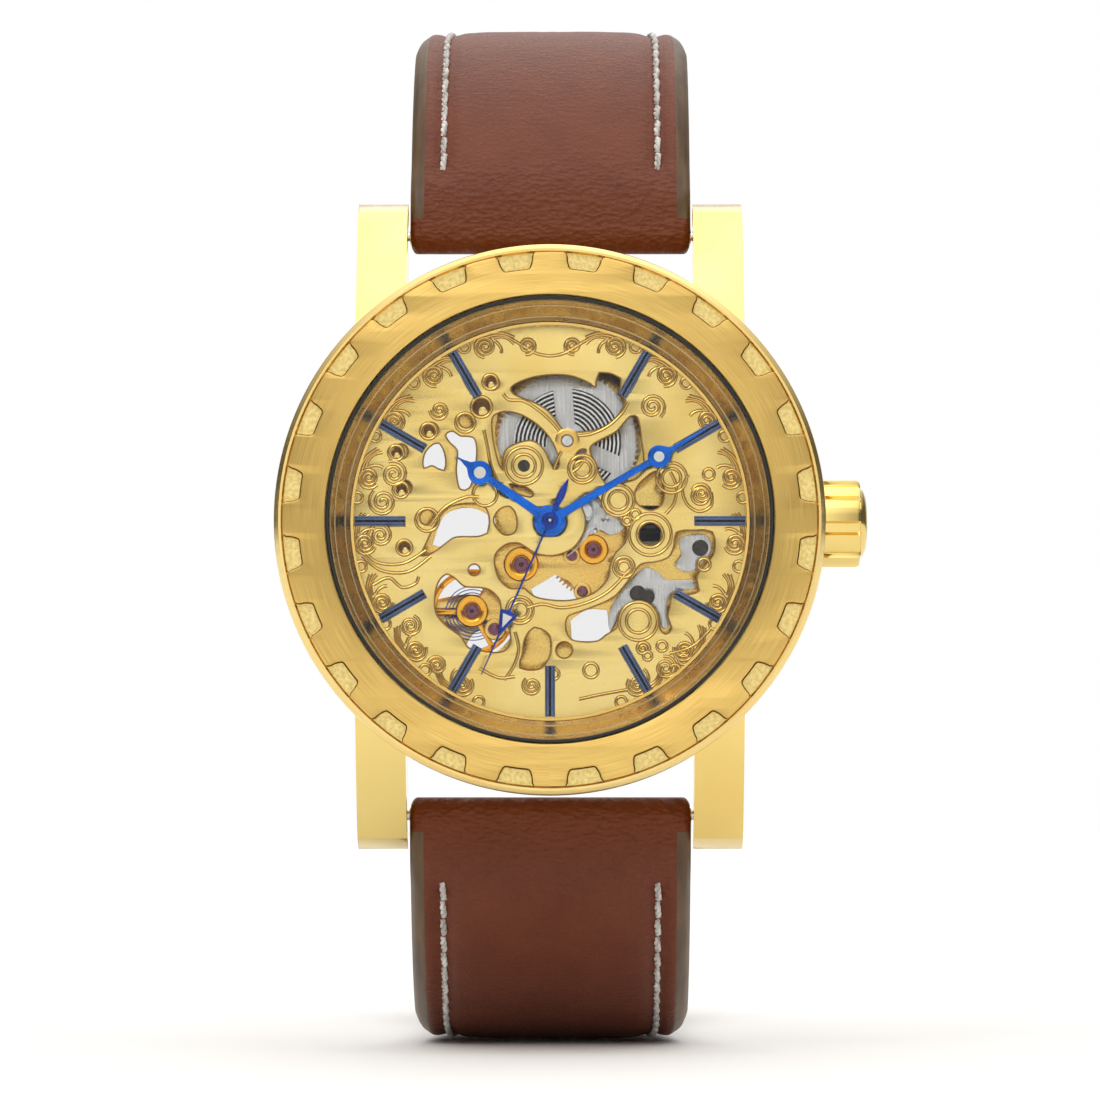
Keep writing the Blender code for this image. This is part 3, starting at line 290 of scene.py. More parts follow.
def leather(name, colour, deep, gold_bounce):
    """Calf leather: pebbled grain, fine pores and a drift in the dye. Its UVs hold the
    place across and the distance from the spring bar, so the grain coarsens towards the
    fold, where an orange warmth is painted in for light reflected off the gold case."""
    made = shader_of(name, colour, 0.5, 0.0, Coat_Weight=0.05, Coat_Roughness=0.4,
                     Specular_IOR_Level=0.26)
    where = add(made, "ShaderNodeTexCoord").outputs["UV"]
    drawn = add(made, "ShaderNodeMapping", {"Vector": where, "Scale": (0.75, 1.5, 1)}).outputs[0]
    cells = add(made, "ShaderNodeTexVoronoi", {"Vector": drawn, "Scale": 1.9,
                                               "Randomness": 1.0}).outputs["Distance"]
    folds = add(made, "ShaderNodeTexNoise", {"Vector": drawn, "Scale": 0.9, "Detail": 3.0,
                                             "Distortion": 1.2}).outputs["Fac"]
    pores = add(made, "ShaderNodeTexNoise", {"Vector": where, "Scale": 4.2,
                                             "Detail": 3.0}).outputs["Fac"]
    split = add(made, "ShaderNodeSeparateXYZ", {0: where})
    near = ramp(made, split.outputs["Y"], 7.5, 3.5, 0.22, 1.0)
    pebbles = add(made, "ShaderNodeMath", {0: cells, 1: folds}, operation="MULTIPLY").outputs[0]
    strong = add(made, "ShaderNodeMath", {0: pebbles, 1: near}, operation="MULTIPLY").outputs[0]
    height = add(made, "ShaderNodeMath", {0: pores, 1: 0.2, 2: strong},
                 operation="MULTIPLY_ADD").outputs[0]
    drift = add(made, "ShaderNodeTexNoise", {"Vector": where, "Scale": 0.2,
                                             "Detail": 3.0}).outputs["Fac"]
    dyed = blend_colour(made, ramp(made, drift, 0.3, 0.7, 0, 0.6), colour, deep)
    # Painted reflected light: the colour warms towards the fold, where the leather faces the gold
    # case.
    bounce_warmed = blend_colour(made, ramp(made, split.outputs["Y"], 4.0, 0.0, 0, 0.8), dyed, gold_bounce)
    feed(made, "Base Color", blend_colour(made, ramp(made, pores, 0.55, 0.7, 0, 0.4), bounce_warmed,
                                          deep))
    roughen(made, pores, 0.3, 0.7, 0.42, 0.58)
    bumped(made, height, 0.6, 0.0006)
    return made


def leather_edge(name, colour, light, dark):
    """The painted and burnished edge of the strap."""
    made = shader_of(name, colour, 0.42)
    streaks = grain(made, 420, 4, (3, 0.6, 0.6))
    tint(made, streaks, 0.3, 0.7, light, dark)
    bumped(made, streaks, 0.25, 0.0001)
    return made


def thread(name, colour, light, dark):
    made = shader_of(name, colour, 0.75, 0.0, Sheen_Weight=0.25)
    fibres = grain(made, 2600, 3, (1, 0.3, 0.3))
    tint(made, fibres, 0.35, 0.65, light, dark)
    bumped(made, fibres, 0.4, 0.00008)
    return made


def clear_glass(name, colour, alpha):
    made = shader_of(name, colour, 0.02, 0.0, Alpha=alpha, IOR=1.45)
    roughen(made, grain(made, 60, 2), 0.3, 0.7, 0.015, 0.05)
    return made


def jewel(name, colour):
    made = shader_of(name, colour, 0.06, 0.0, Coat_Weight=1.0, Transmission_Weight=0.25)
    feed(made, "Base Color", blend_colour(made, grain(made, 1500, 2), colour,
                                          faded(colour, (0.4, 0.4, 0.4))))
    return made


def matt(name, colour, roughness, scale, strength):
    """A plain dull surface with a fine grain, such as rubber or lume."""
    made = shader_of(name, colour, roughness)
    bumped(made, grain(made, scale, 3), strength)
    return made


# Each look: its name, the colour slot that its pieces usually take, its maker and values.
RECIPES = (
    ("case_polish", "case_gold", polished_gold, linear(244, 218, 138), 0.11),
    ("rim_polish", "case_gold", polished_gold, linear(242, 216, 146), 0.2),
    ("crown_polish", "case_gold", polished_gold, linear(238, 212, 134), 0.12),
    # rehaut: a darker gold that paints the shade on the dial ring's sloping inner wall
    ("rehaut", "case_gold", polished_gold, linear(190, 164, 112), 0.26),
    ("notch_floor", "case_gold", stippled_gold, linear(236, 208, 130), linear(244, 222, 150),
     linear(222, 196, 122)),
    ("bezel_brushed", "brushed_gold", circular_brushed, linear(238, 204, 122),
     linear(222, 184, 102)),
    # crevice: near-black gold painted as shade at the foot of the bezel's notch walls
    ("crevice", "case_gold", painted_shade_gold, linear(62, 44, 18), linear(104, 78, 36)),
    # stain: dark gold standing in for the shade along the dial's window edges, under its engraving
    # and in the case back's key slots
    ("stain", "plate_gold", painted_shade_gold, linear(122, 86, 34), linear(184, 146, 78)),
    # recess: dark gold painted into the dial's round recesses as their shade
    ("recess", "plate_gold", painted_shade_gold, linear(66, 40, 16), linear(120, 82, 40)),
    ("dial_gold", "plate_gold", plate_gold, linear(244, 218, 138), 0.2),
    ("lower_gold", "plate_gold", plate_gold, linear(232, 190, 102), 0.24),
    ("bead_gold", "plate_gold", polished_gold, linear(240, 202, 112), 0.2),
    ("chaton_gold", "plate_gold", polished_gold, linear(246, 182, 60), 0.14),
    ("ruby", "plate_gold", jewel, linear(150, 40, 96)),
    ("steel", "steel", straight_brushed, linear(206, 206, 204), (9, 1, 0.4), 0.3),
    ("bright_steel", "steel", straight_brushed, linear(222, 222, 222), (2, 2, 2), 0.2),
    ("dark_steel", "steel", straight_brushed, linear(70, 66, 60), (2, 2, 2), 0.22),
    ("brass", "brass", straight_brushed, linear(214, 164, 80), (6, 1, 1), 0.26),
    ("hand_blue", "blued_steel", blued, linear(10, 110, 230), 0.16),
    ("deep_blue", "blued_steel", blued, linear(34, 68, 176), 0.16),
    ("baton_blue", "blued_steel", blued, linear(104, 120, 158), 0.24),
    ("baton_dark", "blued_steel", blued, linear(38, 40, 50), 0.3),
    # The third colour of leather and lining is the painted gold bounce near the fold.
    ("leather", "leather", leather, linear(112, 57, 34), linear(94, 43, 24),
     linear(112, 50, 8)),
    ("lining", "leather", leather, linear(136, 90, 56), linear(118, 74, 42),
     linear(118, 66, 26)),
    ("leather_edge", "leather", leather_edge, linear(96, 70, 38), linear(100, 74, 40),
     linear(72, 48, 24)),
    ("thread", "leather", thread, linear(212, 204, 190), linear(228, 226, 222),
     linear(168, 162, 154)),
    ("crystal_clear", "glass", clear_glass, (0.2, 0.22, 0.24, 1), 0.05),
    ("rubber", "rubber", matt, linear(22, 20, 18), 0.5, 2400, 0.2),
    ("lume", None, matt, linear(222, 222, 216), 0.6, 4200, 0.35),
)
LOOKS = {look: maker(look, *values) for look, _, maker, *values in RECIPES}
USUAL_SLOTS = {look: slot for look, slot, *_ in RECIPES}


# ---------------------------------------------------------------- outlines on the bench
def polar_point(radius, degrees, at=(0, 0)):
    angle = math.radians(degrees)
    return (at[0] + radius * math.cos(angle), at[1] + radius * math.sin(angle))


def clock_point(radius, degrees, at=(0, 0)):
    """The point at a clockwise angle from 12 o'clock."""
    return polar_point(radius, 90 - degrees, at)


def arc(at, radius, start, end, steps):
    return [polar_point(radius, start + (end - start) * i / steps, at)
            for i in range(steps + 1)]


def circle(at, radius, steps=24):
    return [polar_point(radius, 360 * i / steps, at) for i in range(steps)]


def rectangle(left, right, bottom, top):
    return [(left, bottom), (right, bottom), (right, top), (left, top)]


def mirrored(points):
    """The other half of an outline that is the same on both sides, in running order."""
    return [(-x, y) for x, y in reversed(points)]


def rotated(points, degrees, at=(0, 0)):
    c, s = math.cos(math.radians(degrees)), math.sin(math.radians(degrees))
    return [(at[0] + x * c - y * s, at[1] + x * s + y * c) for x, y in points]


def curved(points, steps=4, closed=True, sharp=55):
    """A Catmull-Rom line through the points that leaves sharp corners sharp."""
    count = len(points)
    line = []
    for i in range(count if closed else count - 1):
        near = [Vector(points[(i + k) % count] if closed else
                       points[min(max(i + k, 0), count - 1)]) for k in (-1, 0, 1, 2)]
        a, b, c, d = near
        if closed and (b - a).length and (b - a).angle(c - b, 0) > math.radians(sharp):
            a = b - (c - b)
        if closed and (c - b).length and (c - b).angle(d - c, 0) > math.radians(sharp):
            d = c + (c - b)
        for k in range(steps):
            t = k / steps
            p = 0.5 * (2 * b + (c - a) * t + (2 * a - 5 * b + 4 * c - d) * t * t
                       + (3 * b - a - 3 * c + d) * t ** 3)
            line.append((p.x, p.y))
    if not closed:
        line.append(tuple(points[-1]))
    return line


def rounded(points, radius, steps=3):
    """A closed outline with each corner cut back and rounded."""
    loop = []
    count = len(points)
    for i, here in enumerate(points):
        here = Vector(here)
        before, after = Vector(points[i - 1]), Vector(points[(i + 1) % count])
        cut = min(radius, (before - here).length * 0.45, (after - here).length * 0.45)
        start = here + (before - here).normalized() * cut
        end = here + (after - here).normalized() * cut
        for k in range(steps + 1):
            t = k / steps
            p = start * (1 - t) ** 2 + here * 2 * t * (1 - t) + end * t * t
            loop.append((p.x, p.y))
    return loop


def plate_outlines(node, front=True):
    """Outlines of a flat CAD plate's front or back face, the longest first."""
    mesh = bmesh.new()
    mesh.from_mesh(frame["nodes"][node].data)
    bmesh.ops.remove_doubles(mesh, verts=mesh.verts, dist=0.000002)
    heights = [bench(v.co).z for v in mesh.verts]
    level = max(heights) if front else min(heights)
    flat = {v for v in mesh.verts if abs(bench(v.co).z - level) < 0.01}
    follow = {}
    for edge in mesh.edges:
        on_face = [f for f in edge.link_faces if all(v in flat for v in f.verts)]
        if all(v in flat for v in edge.verts) and len(on_face) == 1:
            for v, other in (edge.verts, reversed(edge.verts)):
                follow.setdefault(v, []).append(other)
    loops = []
    while follow:
        start = next(iter(follow))
        loop, here = [start], start
        while True:
            options = [v for v in follow.get(here, []) if v in follow and v is not here]
            options = [v for v in options if len(loop) < 2 or v is not loop[-2]]
            following = options[0] if options else start
            follow.pop(here, None)
            if following is start or following not in follow:
                break
            loop.append(following)
            here = following
        if len(loop) > 2:
            loops.append([tuple(bench(v.co).xy) for v in loop])
    mesh.free()
    return sorted(loops, key=lambda loop: -outline_length(loop))


def outline_length(loop):
    return sum((Vector(a) - Vector(b)).length for a, b in zip(loop, loop[1:] + loop[:1]))


# ---------------------------------------------------------------- shapes on the bench
# A shape is (vertices, faces) in bench millimetres.
def join(*shapes):
    verts, faces = [], []
    for more_verts, more_faces in shapes:
        offset = len(verts)
        verts += more_verts
        faces += [[i + offset for i in face] for face in more_faces]
    return verts, faces


def lathe(profile, steps=144, at=(0, 0, 0), along="z"):
    """A closed profile of (radius, height) turned about an axis through a point."""
    count = len(profile)
    verts, faces = [], []
    for i in range(steps):
        angle = TAU * i / steps
        for radius, height in profile:
            across, up = radius * math.cos(angle), radius * math.sin(angle)
            point = (across, up, height) if along == "z" else (height, across, up)
            verts.append(tuple(p + q for p, q in zip(point, at)))
    for i in range(steps):
        for j in range(count):
            k, after = (j + 1) % count, (i + 1) % steps
            if profile[j][0] > 0 or profile[k][0] > 0:
                faces.append([i * count + j, i * count + k, after * count + k,
                              after * count + j])
    return verts, faces


def loft(rings):
    """A closed skin over rings of points, with a face over each end."""
    count = len(rings[0])
    verts = [point for ring in rings for point in ring]
    faces = []
    for i in range(len(rings) - 1):
        for j in range(count):
            k = (j + 1) % count
            faces.append([i * count + j, i * count + k, (i + 1) * count + k,
                          (i + 1) * count + j])
    return verts, faces + [list(range(count)), list(range(len(verts) - count, len(verts)))]


def curve_shape(curve):
    """The shape of a curve, whose data is then dropped."""
    holder = bpy.data.objects.new("shape", curve)
    bpy.context.scene.collection.objects.link(holder)
    evaluated = holder.evaluated_get(bpy.context.evaluated_depsgraph_get())
    mesh = evaluated.to_mesh()
    verts = [tuple(v.co) for v in mesh.vertices]
    faces = [list(f.vertices) for f in mesh.polygons]
    evaluated.to_mesh_clear()
    bpy.data.objects.remove(holder)
    bpy.data.curves.remove(curve)
    return verts, faces


def slab(loops, low, high, bevel=0.05):
    """A flat plate with softened edges: an outline and its holes, between two heights."""
    curve = bpy.data.curves.new("slab", "CURVE")
    curve.dimensions = "2D"
    curve.fill_mode = "BOTH"
    curve.extrude = (high - low) / 2 - bevel
    curve.bevel_depth = bevel
    curve.bevel_resolution = 1
    curve.offset = -bevel
    for loop in loops:
        spline = curve.splines.new("POLY")
        spline.points.add(len(loop) - 1)
        spline.use_cyclic_u = True
        for point, (x, y) in zip(spline.points, loop):
            point.co = (x, y, 0, 1)
    verts, faces = curve_shape(curve)
    return [(x, y, z + (low + high) / 2) for x, y, z in verts], faces


def tubes(paths, radius, flat=1.0, sides=1):
    """Round rods along 3-D paths; flat squeezes their height about each path's own."""
    curve = bpy.data.curves.new("tubes", "CURVE")
    curve.dimensions = "3D"
    curve.bevel_depth = radius
    curve.bevel_resolution = sides
    curve.use_fill_caps = True
    for path in paths:
        spline = curve.splines.new("POLY")
        spline.points.add(len(path) - 1)
        for point, where in zip(spline.points, path):
            point.co = (*where, 1)
    verts, faces = curve_shape(curve)
    if flat != 1.0:
        level = paths[0][0][2]
        verts = [(x, y, level + (z - level) * flat) for x, y, z in verts]
    return verts, faces


def solid(name, shape, look, body, node=None, slot=None, crease=32, bevel=0.0):
    """Stands a bench shape up in the row frame as a piece that rides on a body."""
    verts, faces = shape
    mesh = bpy.data.meshes.new(name)
    mesh.from_pydata([(x * MM, -z * MM, y * MM) for x, y, z in verts], [], faces)
    built = bmesh.new()
    built.from_mesh(mesh)
    bmesh.ops.remove_doubles(built, verts=built.verts, dist=0.0000005)
    if bevel:
        corners = [e for e in built.edges if e.is_manifold
                   and e.calc_face_angle(0) > math.radians(crease)]
        bmesh.ops.bevel(built, geom=corners, offset=bevel * MM, segments=3, affect="EDGES",
                        profile=0.6, clamp_overlap=True)
    bmesh.ops.recalc_face_normals(built, faces=built.faces)
    built.to_mesh(mesh)
    built.free()
    mesh.polygons.foreach_set("use_smooth", [True] * len(mesh.polygons))
    mesh.set_sharp_from_angle(angle=math.radians(crease))
    if look == "leather":
        unwrap_in_mm(mesh)
    mesh.materials.append(LOOKS[look])
    made = bpy.data.objects.new(name, mesh)
    bpy.context.scene.collection.objects.link(made)
    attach(made, body)
    if node:
        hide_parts(node)
    slot = slot or USUAL_SLOTS[look]
    return made


def unwrap_in_mm(mesh):
    """Plain UVs in millimetres, past the creased stretch of the leather."""
    layer = mesh.uv_layers.new(name="UVMap")
    for loop in mesh.loops:
        x, y, z = bench(mesh.vertices[loop.vertex_index].co)
        layer.data[loop.index].uv = (x + 0.6 * y, 60 + z + 0.4 * y)


def finish_node(node, look):
    """Gives a CAD node that keeps its own shape a finished material."""
    mesh = frame["nodes"][node].data
    mesh.materials.clear()
    mesh.materials.append(LOOKS[look])


# ---------------------------------------------------------------- case
LUG_WIDTH = 4.15
LUG_GAP = 24.0
ROOT_R = 19.8
NOTCHES = 24
NOTCH_Z = 12.2


def lug(side, low_x):
    """A lug bar: a bowed side outline carried across its width. Its root ends inside the
    wall of the case."""
    tip = span("case_middle")[1].y
    top = arc((9.0, -15.0), 25.3, 90, 46.7, 16)
    outline = top + [(tip, 0.5), (tip - 0.4, 0.0), (21.5, 0.0), (19.0, 3.3), (9.0, 3.3)]
    return loft([[(x, side * max(y, math.sqrt(ROOT_R ** 2 - x ** 2)), z) for y, z in outline]
                 for x in (low_x, low_x + LUG_WIDTH)])


def make_case():
    case_r, bore, top = 21.2, 18.6, span("case_middle")[1].z
    body = [(case_r - 0.3, top), (case_r - 0.08, top - 0.08), (case_r, top - 0.3),
            (case_r, 4.0), (case_r - 0.1, 3.75), (case_r - 0.7, 3.2), (bore, 3.15),
            (bore, top)]
    solid("case_band", lathe(body), "case_polish", "case", "case_middle")
    lows = (LUG_GAP / 2, -LUG_GAP / 2 - LUG_WIDTH)
    lugs = [lug(side, low_x) for side in (1, -1) for low_x in lows]
    solid("lugs", join(*lugs), "case_polish", "case", crease=30, bevel=0.28)


def notch_outline(ring_r, floor_r):
    """The castellated ring: notches with rounded corners, open at the rim."""
    pitch, loop = 360 / NOTCHES, []
    for i in range(NOTCHES):
        turn = pitch * (i + 0.5)
        loop += arc((0, 0), ring_r, turn - pitch + 4.5, turn - 4.5, 5)
        loop += notch_line(ring_r, floor_r, turn)
    return loop


def notch_line(ring_r, floor_r, turn):
    """One notch, from shoulder to shoulder by way of its floor."""
    half = [(ring_r - 0.06, 4.15), (ring_r - 0.25, 3.85), (ring_r - 0.7, 3.7),
            (floor_r + 0.45, 3.5), (floor_r + 0.2, 3.25), (floor_r + 0.04, 2.85),
            (floor_r, 2.3)]
    line = [polar_point(radius, turn - lean) for radius, lean in half]
    line += arc((0, 0), floor_r, turn - 1.2, turn + 1.2, 2)
    return line + [polar_point(radius, turn + lean) for radius, lean in reversed(half)]


def make_bezel():
    rim_r, seat_r, floor_z, top_z = 22.8, 18.55, 11.9, 12.75
    ring_r, notch_r = 22.04, 20.65
    rim = [(22.0, floor_z), (22.05, 12.55), (22.2, top_z - 0.02), (22.4, top_z),
           (22.62, top_z - 0.12), (22.74, 12.45), (rim_r, 12.1), (rim_r, 11.0),
           (22.7, 10.7), (22.4, 10.45), (seat_r, 10.45), (seat_r, floor_z)]
    solid("bezel_rim_wall", lathe(rim, 192), "rim_polish", "case", "bezel_rim")
    floor = [(22.05, NOTCH_Z), (22.05, floor_z - 0.1), (20.2, floor_z - 0.1), (20.2, NOTCH_Z)]
    solid("bezel_notch_floor", lathe(floor, 192), "notch_floor", "case")
    low, high = span("bezel_ring")
    ring = slab([notch_outline(ring_r, notch_r), circle((0, 0), seat_r + 0.02, 192)],
                low.z, high.z, 0.1)
    solid("bezel_castle_ring", ring, "bezel_brushed", "case", "bezel_ring", crease=40)
    # Dark tubes round the foot of each notch: painted shade where the notch walls meet the floor.
    feet = [lifted(notch_line(ring_r - 0.02, notch_r + 0.03, 360 / NOTCHES * (i + 0.5)),
                   NOTCH_Z + 0.03) for i in range(NOTCHES)]
    solid("bezel_notch_crevice_shade", tubes(feet, 0.1), "crevice", "case")


def make_crystal():
    low, high = span("crystal")
    r = radius_of("crystal")
    dome = [(0, high.z), (8, high.z - 0.03), (15, high.z - 0.1), (r - 0.45, high.z - 0.2),
            (r - 0.1, high.z - 0.36), (r, high.z - 0.55), (r, low.z), (0, low.z)]
    solid("crystal_dome", lathe(dome, 160), "crystal_clear", "case", "crystal")
    low, high = span("crystal_gasket")
    gasket = [(r + 0.04, high.z - 0.05), (r + 0.1, high.z), (18.42, high.z), (18.46, high.z - 0.1),
              (18.46, low.z), (r + 0.04, low.z)]
    solid("crystal_seal", lathe(gasket, 160), "rubber", "case", "crystal_gasket")
    low, high = span("rehaut_ring")
    cone = [(18.4, high.z), (18.4, low.z), (16.65, low.z), (16.65, low.z + 0.15),
            (16.95, low.z + 0.5), (17.05, low.z + 0.52), (17.75, low.z + 1.9),
            (17.85, low.z + 1.92), (18.1, high.z)]
    # The rehaut's darker gold stands in for the shade on this inner wall.
    solid("rehaut_cone", lathe(cone, 160), "rehaut", "case", "rehaut_ring", crease=20)


def make_case_back():
    low, high = span("case_back_ring")
    out_r = radius_of("case_back_ring")
    ring = [(out_r, high.z), (out_r, 1.25), (out_r - 0.12, 0.95), (out_r - 0.85, 0.38),
            (out_r - 1.05, low.z), (17.2, low.z), (17.1, low.z + 0.12), (16.9, low.z + 0.12),
            (16.8, low.z), (14.5, low.z), (14.3, low.z + 0.15), (14.3, high.z)]
    solid("case_back_frame", lathe(ring), "case_polish", "case", "case_back_ring", crease=20)
    low, high = span("case_back_glass")
    glass = [(0, low.z), (13.85, low.z), (14.0, low.z + 0.08), (14.25, low.z + 0.35),
             (14.25, high.z), (0, high.z)]
    solid("case_back_window", lathe(glass), "crystal_clear", "case", "case_back_glass")
    notches = [slot_cut(clock_point(18.1, 60 * i), 60 * i) for i in range(6)]
    # The key slots are dark patches: painted shade where the case back would be cut away.
    solid("case_back_notches", join(*notches), "stain", "case", slot="case_gold")


def slot_cut(at, degrees):
    """A small key slot drawn as a dark patch just proud of the case back: painted shade for the
    cut.
    """
    outline = rounded(rotated(rectangle(-0.9, 0.9, -0.4, 0.4), -degrees, at), 0.3)
    return slab([outline], 0.28, 0.4, 0.01)


# ---------------------------------------------------------------- crown
FLUTES = 10


def crown_outline(shrink=0.0):
    low, high = span("crown")
    r, groove, loop = (high.z - low.z) / 2 - shrink, 0.36, []
    for i in range(FLUTES):
        turn = 360 / FLUTES * i + 9
        loop += arc((0, 0), r, turn - 8.6, turn + 8.6, 5)
        loop += [polar_point(r - groove * 0.75, turn + 10.2)]
        loop += arc((0, 0), r - groove, turn + 11.5, turn + 24.5, 4)
        loop += [polar_point(r - groove * 0.75, turn + 25.8)]
    return loop


def make_crown():
    low, high = span("crown")
    axis_z = middle("crown").z
    levels = [(low.x, 0.12), (low.x + 0.12, 0), (high.x - 0.95, 0), (high.x - 0.68, 0.12),
              (high.x - 0.6, 0.45)]
    fluted = loft([[(x, p, q + axis_z) for q, p in crown_outline(shrink)]
                   for x, shrink in levels])
    cap = [(0, high.x), (1.5, high.x - 0.02), (2.2, high.x - 0.12), (2.75, high.x - 0.34),
           (2.95, high.x - 0.6), (2.95, high.x - 0.8), (0, high.x - 0.8)]
    solid("crown_body", fluted, "crown_polish", "crown", "crown", crease=28)
    solid("crown_cap", lathe(cap, 96, (0, 0, axis_z), "x"), "crown_polish", "crown")
    low, high = span("crown_tube")
    tube = [(1.3, high.x), (1.3, low.x), (0.95, low.x), (0.95, high.x)]
    solid("crown_sleeve", lathe(tube, 64, (0, 0, axis_z), "x"), "dark_steel", "case", "crown_tube")


# ---------------------------------------------------------------- dial
def make_dial():
    low, high = span("dial_plate")
    loops = [curved(loop, 4) for loop in plate_outlines("dial_plate")]
    solid("dial_openwork", slab(loops, low.z, high.z, 0.07), "dial_gold", "case", "dial_plate",
          crease=40)
    # Dark tubes along every window's rim paint the shade where the window walls drop away.
    rims = [lifted(loop + loop[:1], high.z - 0.02) for loop in loops[1:]]
    solid("dial_window_edges", tubes(rims, 0.075, 0.8), "stain", "case")


def lifted(loop, z):
    return [(x, y, z) for x, y in loop]


def scroll(at, size, start, turns, hand):
    """A spiral that winds out from its middle, as a bench path."""
    steps = int(turns * 14)
    return [polar_point(size * (0.1 + 0.9 * i / steps), start + hand * 360 * turns * i / steps,
                        at) for i in range(steps + 1)]


def flourish(clock, side):
    """A scroll by the dial's edge and the curved double tail that runs on towards 12."""
    spiral = scroll(clock_point(15.5, clock), 0.92, 90 - clock + side * 60, 2.6, -side)
    lines = [spiral]
    for radius, start, reach in ((16.5, -2.5, 9.5), (16.2, 1.0, 9.3), (15.95, 3.2, 9.0)):
        bow = [clock_point(radius - 0.9 * t ** 3, clock - side * (start + (reach - start) * t))
               for t in (0.0, 0.25, 0.5, 0.75, 1.0)]
        lines.append(curved(bow, 4, False))
    hook = [(15.7, 3.4), (15.35, 4.2), (14.9, 4.6), (14.55, 4.3)]
    lines.append(curved([clock_point(radius, clock - side * lean) for radius, lean in hook], 4,
                        False))
    return lines


def engraving():
    """All the raised scroll lines of the dial, as flat paths."""
    lines = []
    for clock in (20.4, 38.6, 57.4, 76.6, 97, 116, 134, 152):
        for side in (1, -1):
            lines += flourish(side * clock, side)
    free = [((-13.0, 3.9), 1.15, 40, 1), ((-13.9, 1.6), 1.2, 200, -1),
            ((-14.1, -1.2), 1.1, 130, 1), ((8.5, 9.5), 1.1, 20, -1), ((12.6, 2.3), 0.85, 90, 1),
            ((-11.6, -8.7), 0.9, 0, 1), ((-9.4, -12.0), 0.8, 90, 1), ((9.6, -12.2), 1.0, 30, 1),
            ((-1.5, -13.7), 0.8, 200, -1), ((7.7, -10.6), 0.6, 60, -1), ((-12.9, 8.2), 0.9, 60, 1),
            ((-9.2, 9.2), 0.8, 250, -1), ((1.9, 14.6), 0.75, 210, 1), ((-1.9, 14.6), 0.75, -30, -1)]
    lines += [scroll(at, size, start, 2.2, hand) for at, size, start, hand in free]
    arms = [[(-3.9, 10.6), (-3.4, 10.1), (-2.2, 10.0), (-0.9, 9.2), (0.2, 8.2), (0.9, 7.35)],
            [(2.1, 7.1), (3.4, 7.25), (4.8, 7.9), (5.9, 8.9), (6.5, 9.9)],
            [(-5.5, 7.6), (-5.2, 6.2), (-4.9, 4.6), (-4.3, 3.2)],
            [(-10.0, -0.4), (-8.8, 1.1), (-7.0, 2.0), (-5.9, 2.0)],
            [(-15.6, -2.9), (-14.0, -4.1), (-11.8, -4.2), (-9.9, -2.9)],
            [(-15.9, -2.0), (-14.4, -3.4), (-12.2, -3.5), (-10.3, -2.4)],
            [(-14.7, -5.3), (-13.4, -4.7), (-12.3, -5.5), (-11.2, -5.2), (-10.9, -4.6)],
            [(-1.9, -7.2), (-0.6, -6.9), (1.0, -7.2), (3.0, -6.8), (4.9, -5.8), (6.6, -4.0)],
            [(-2.9, -9.2), (-2.6, -10.6), (-3.0, -12.0), (-3.8, -13.2)],
            [(9.6, 0.6), (10.3, 1.5), (10.5, 2.9), (10.0, 4.1)],
            [(11.5, 3.9), (11.0, 2.7), (11.4, 1.4), (12.4, 0.8), (13.4, 1.3), (13.4, 2.4)],
            [(0.3, 4.3), (0.6, 5.1), (1.1, 6.1)], [(2.9, 5.3), (2.4, 4.5), (1.9, 4.1)],
            [(9.9, -11.0), (11.8, -10.4), (13.5, -8.8)], [(2.4, -14.8), (4.2, -14.4), (6.5, -14.0)],
            [(-5.9, -12.2), (-4.3, -13.0), (-2.9, -12.9)], [(-2.9, 15.0), (-1.2, 14.0), (0, 13.75)],
            [(2.9, 15.0), (1.2, 14.0), (0, 13.75)]]
    return lines + [curved(arm, 5, False) for arm in arms]


BOSSES = [((-2.17, 4.61), 1.55), ((2.69, 4.33), 1.15), ((5.67, 1.72), 1.3),
          ((8.33, -1.1), 1.75), ((6.14, -3.83), 0.85), ((7.33, -8.31), 1.6),
          ((-2.5, -7.4), 1.1), ((10.1, 3.6), 1.25), ((12.5, 2.1), 0.7), ((-5.4, 2.26), 1.0),
          ((12.8, -3.6), 0.5), ((3.4, -12.4), 0.6), ((0.3, -12.7), 0.45), ((13.2, 3.9), 0.45),
          ((7.1, 0.55), 0.4), ((6.4, 0.0), 0.35), ((9.3, -10.4), 0.42), ((11.1, -11.5), 0.42),
          ((8.1, -11.2), 0.35), ((-7.05, 8.2), 0.8), ((-10.2, 0.1), 0.95)]
RAISED = BOSSES[:8]
RECESSES = [((-4.96, 11.6), 0.62), ((-5.7, 9.5), 0.85), ((-10.1, 7.5), 0.66),
            ((-12.8, 5.7), 0.62), ((-12.4, 2.6), 0.64), ((-12.1, -2.2), 0.62)]


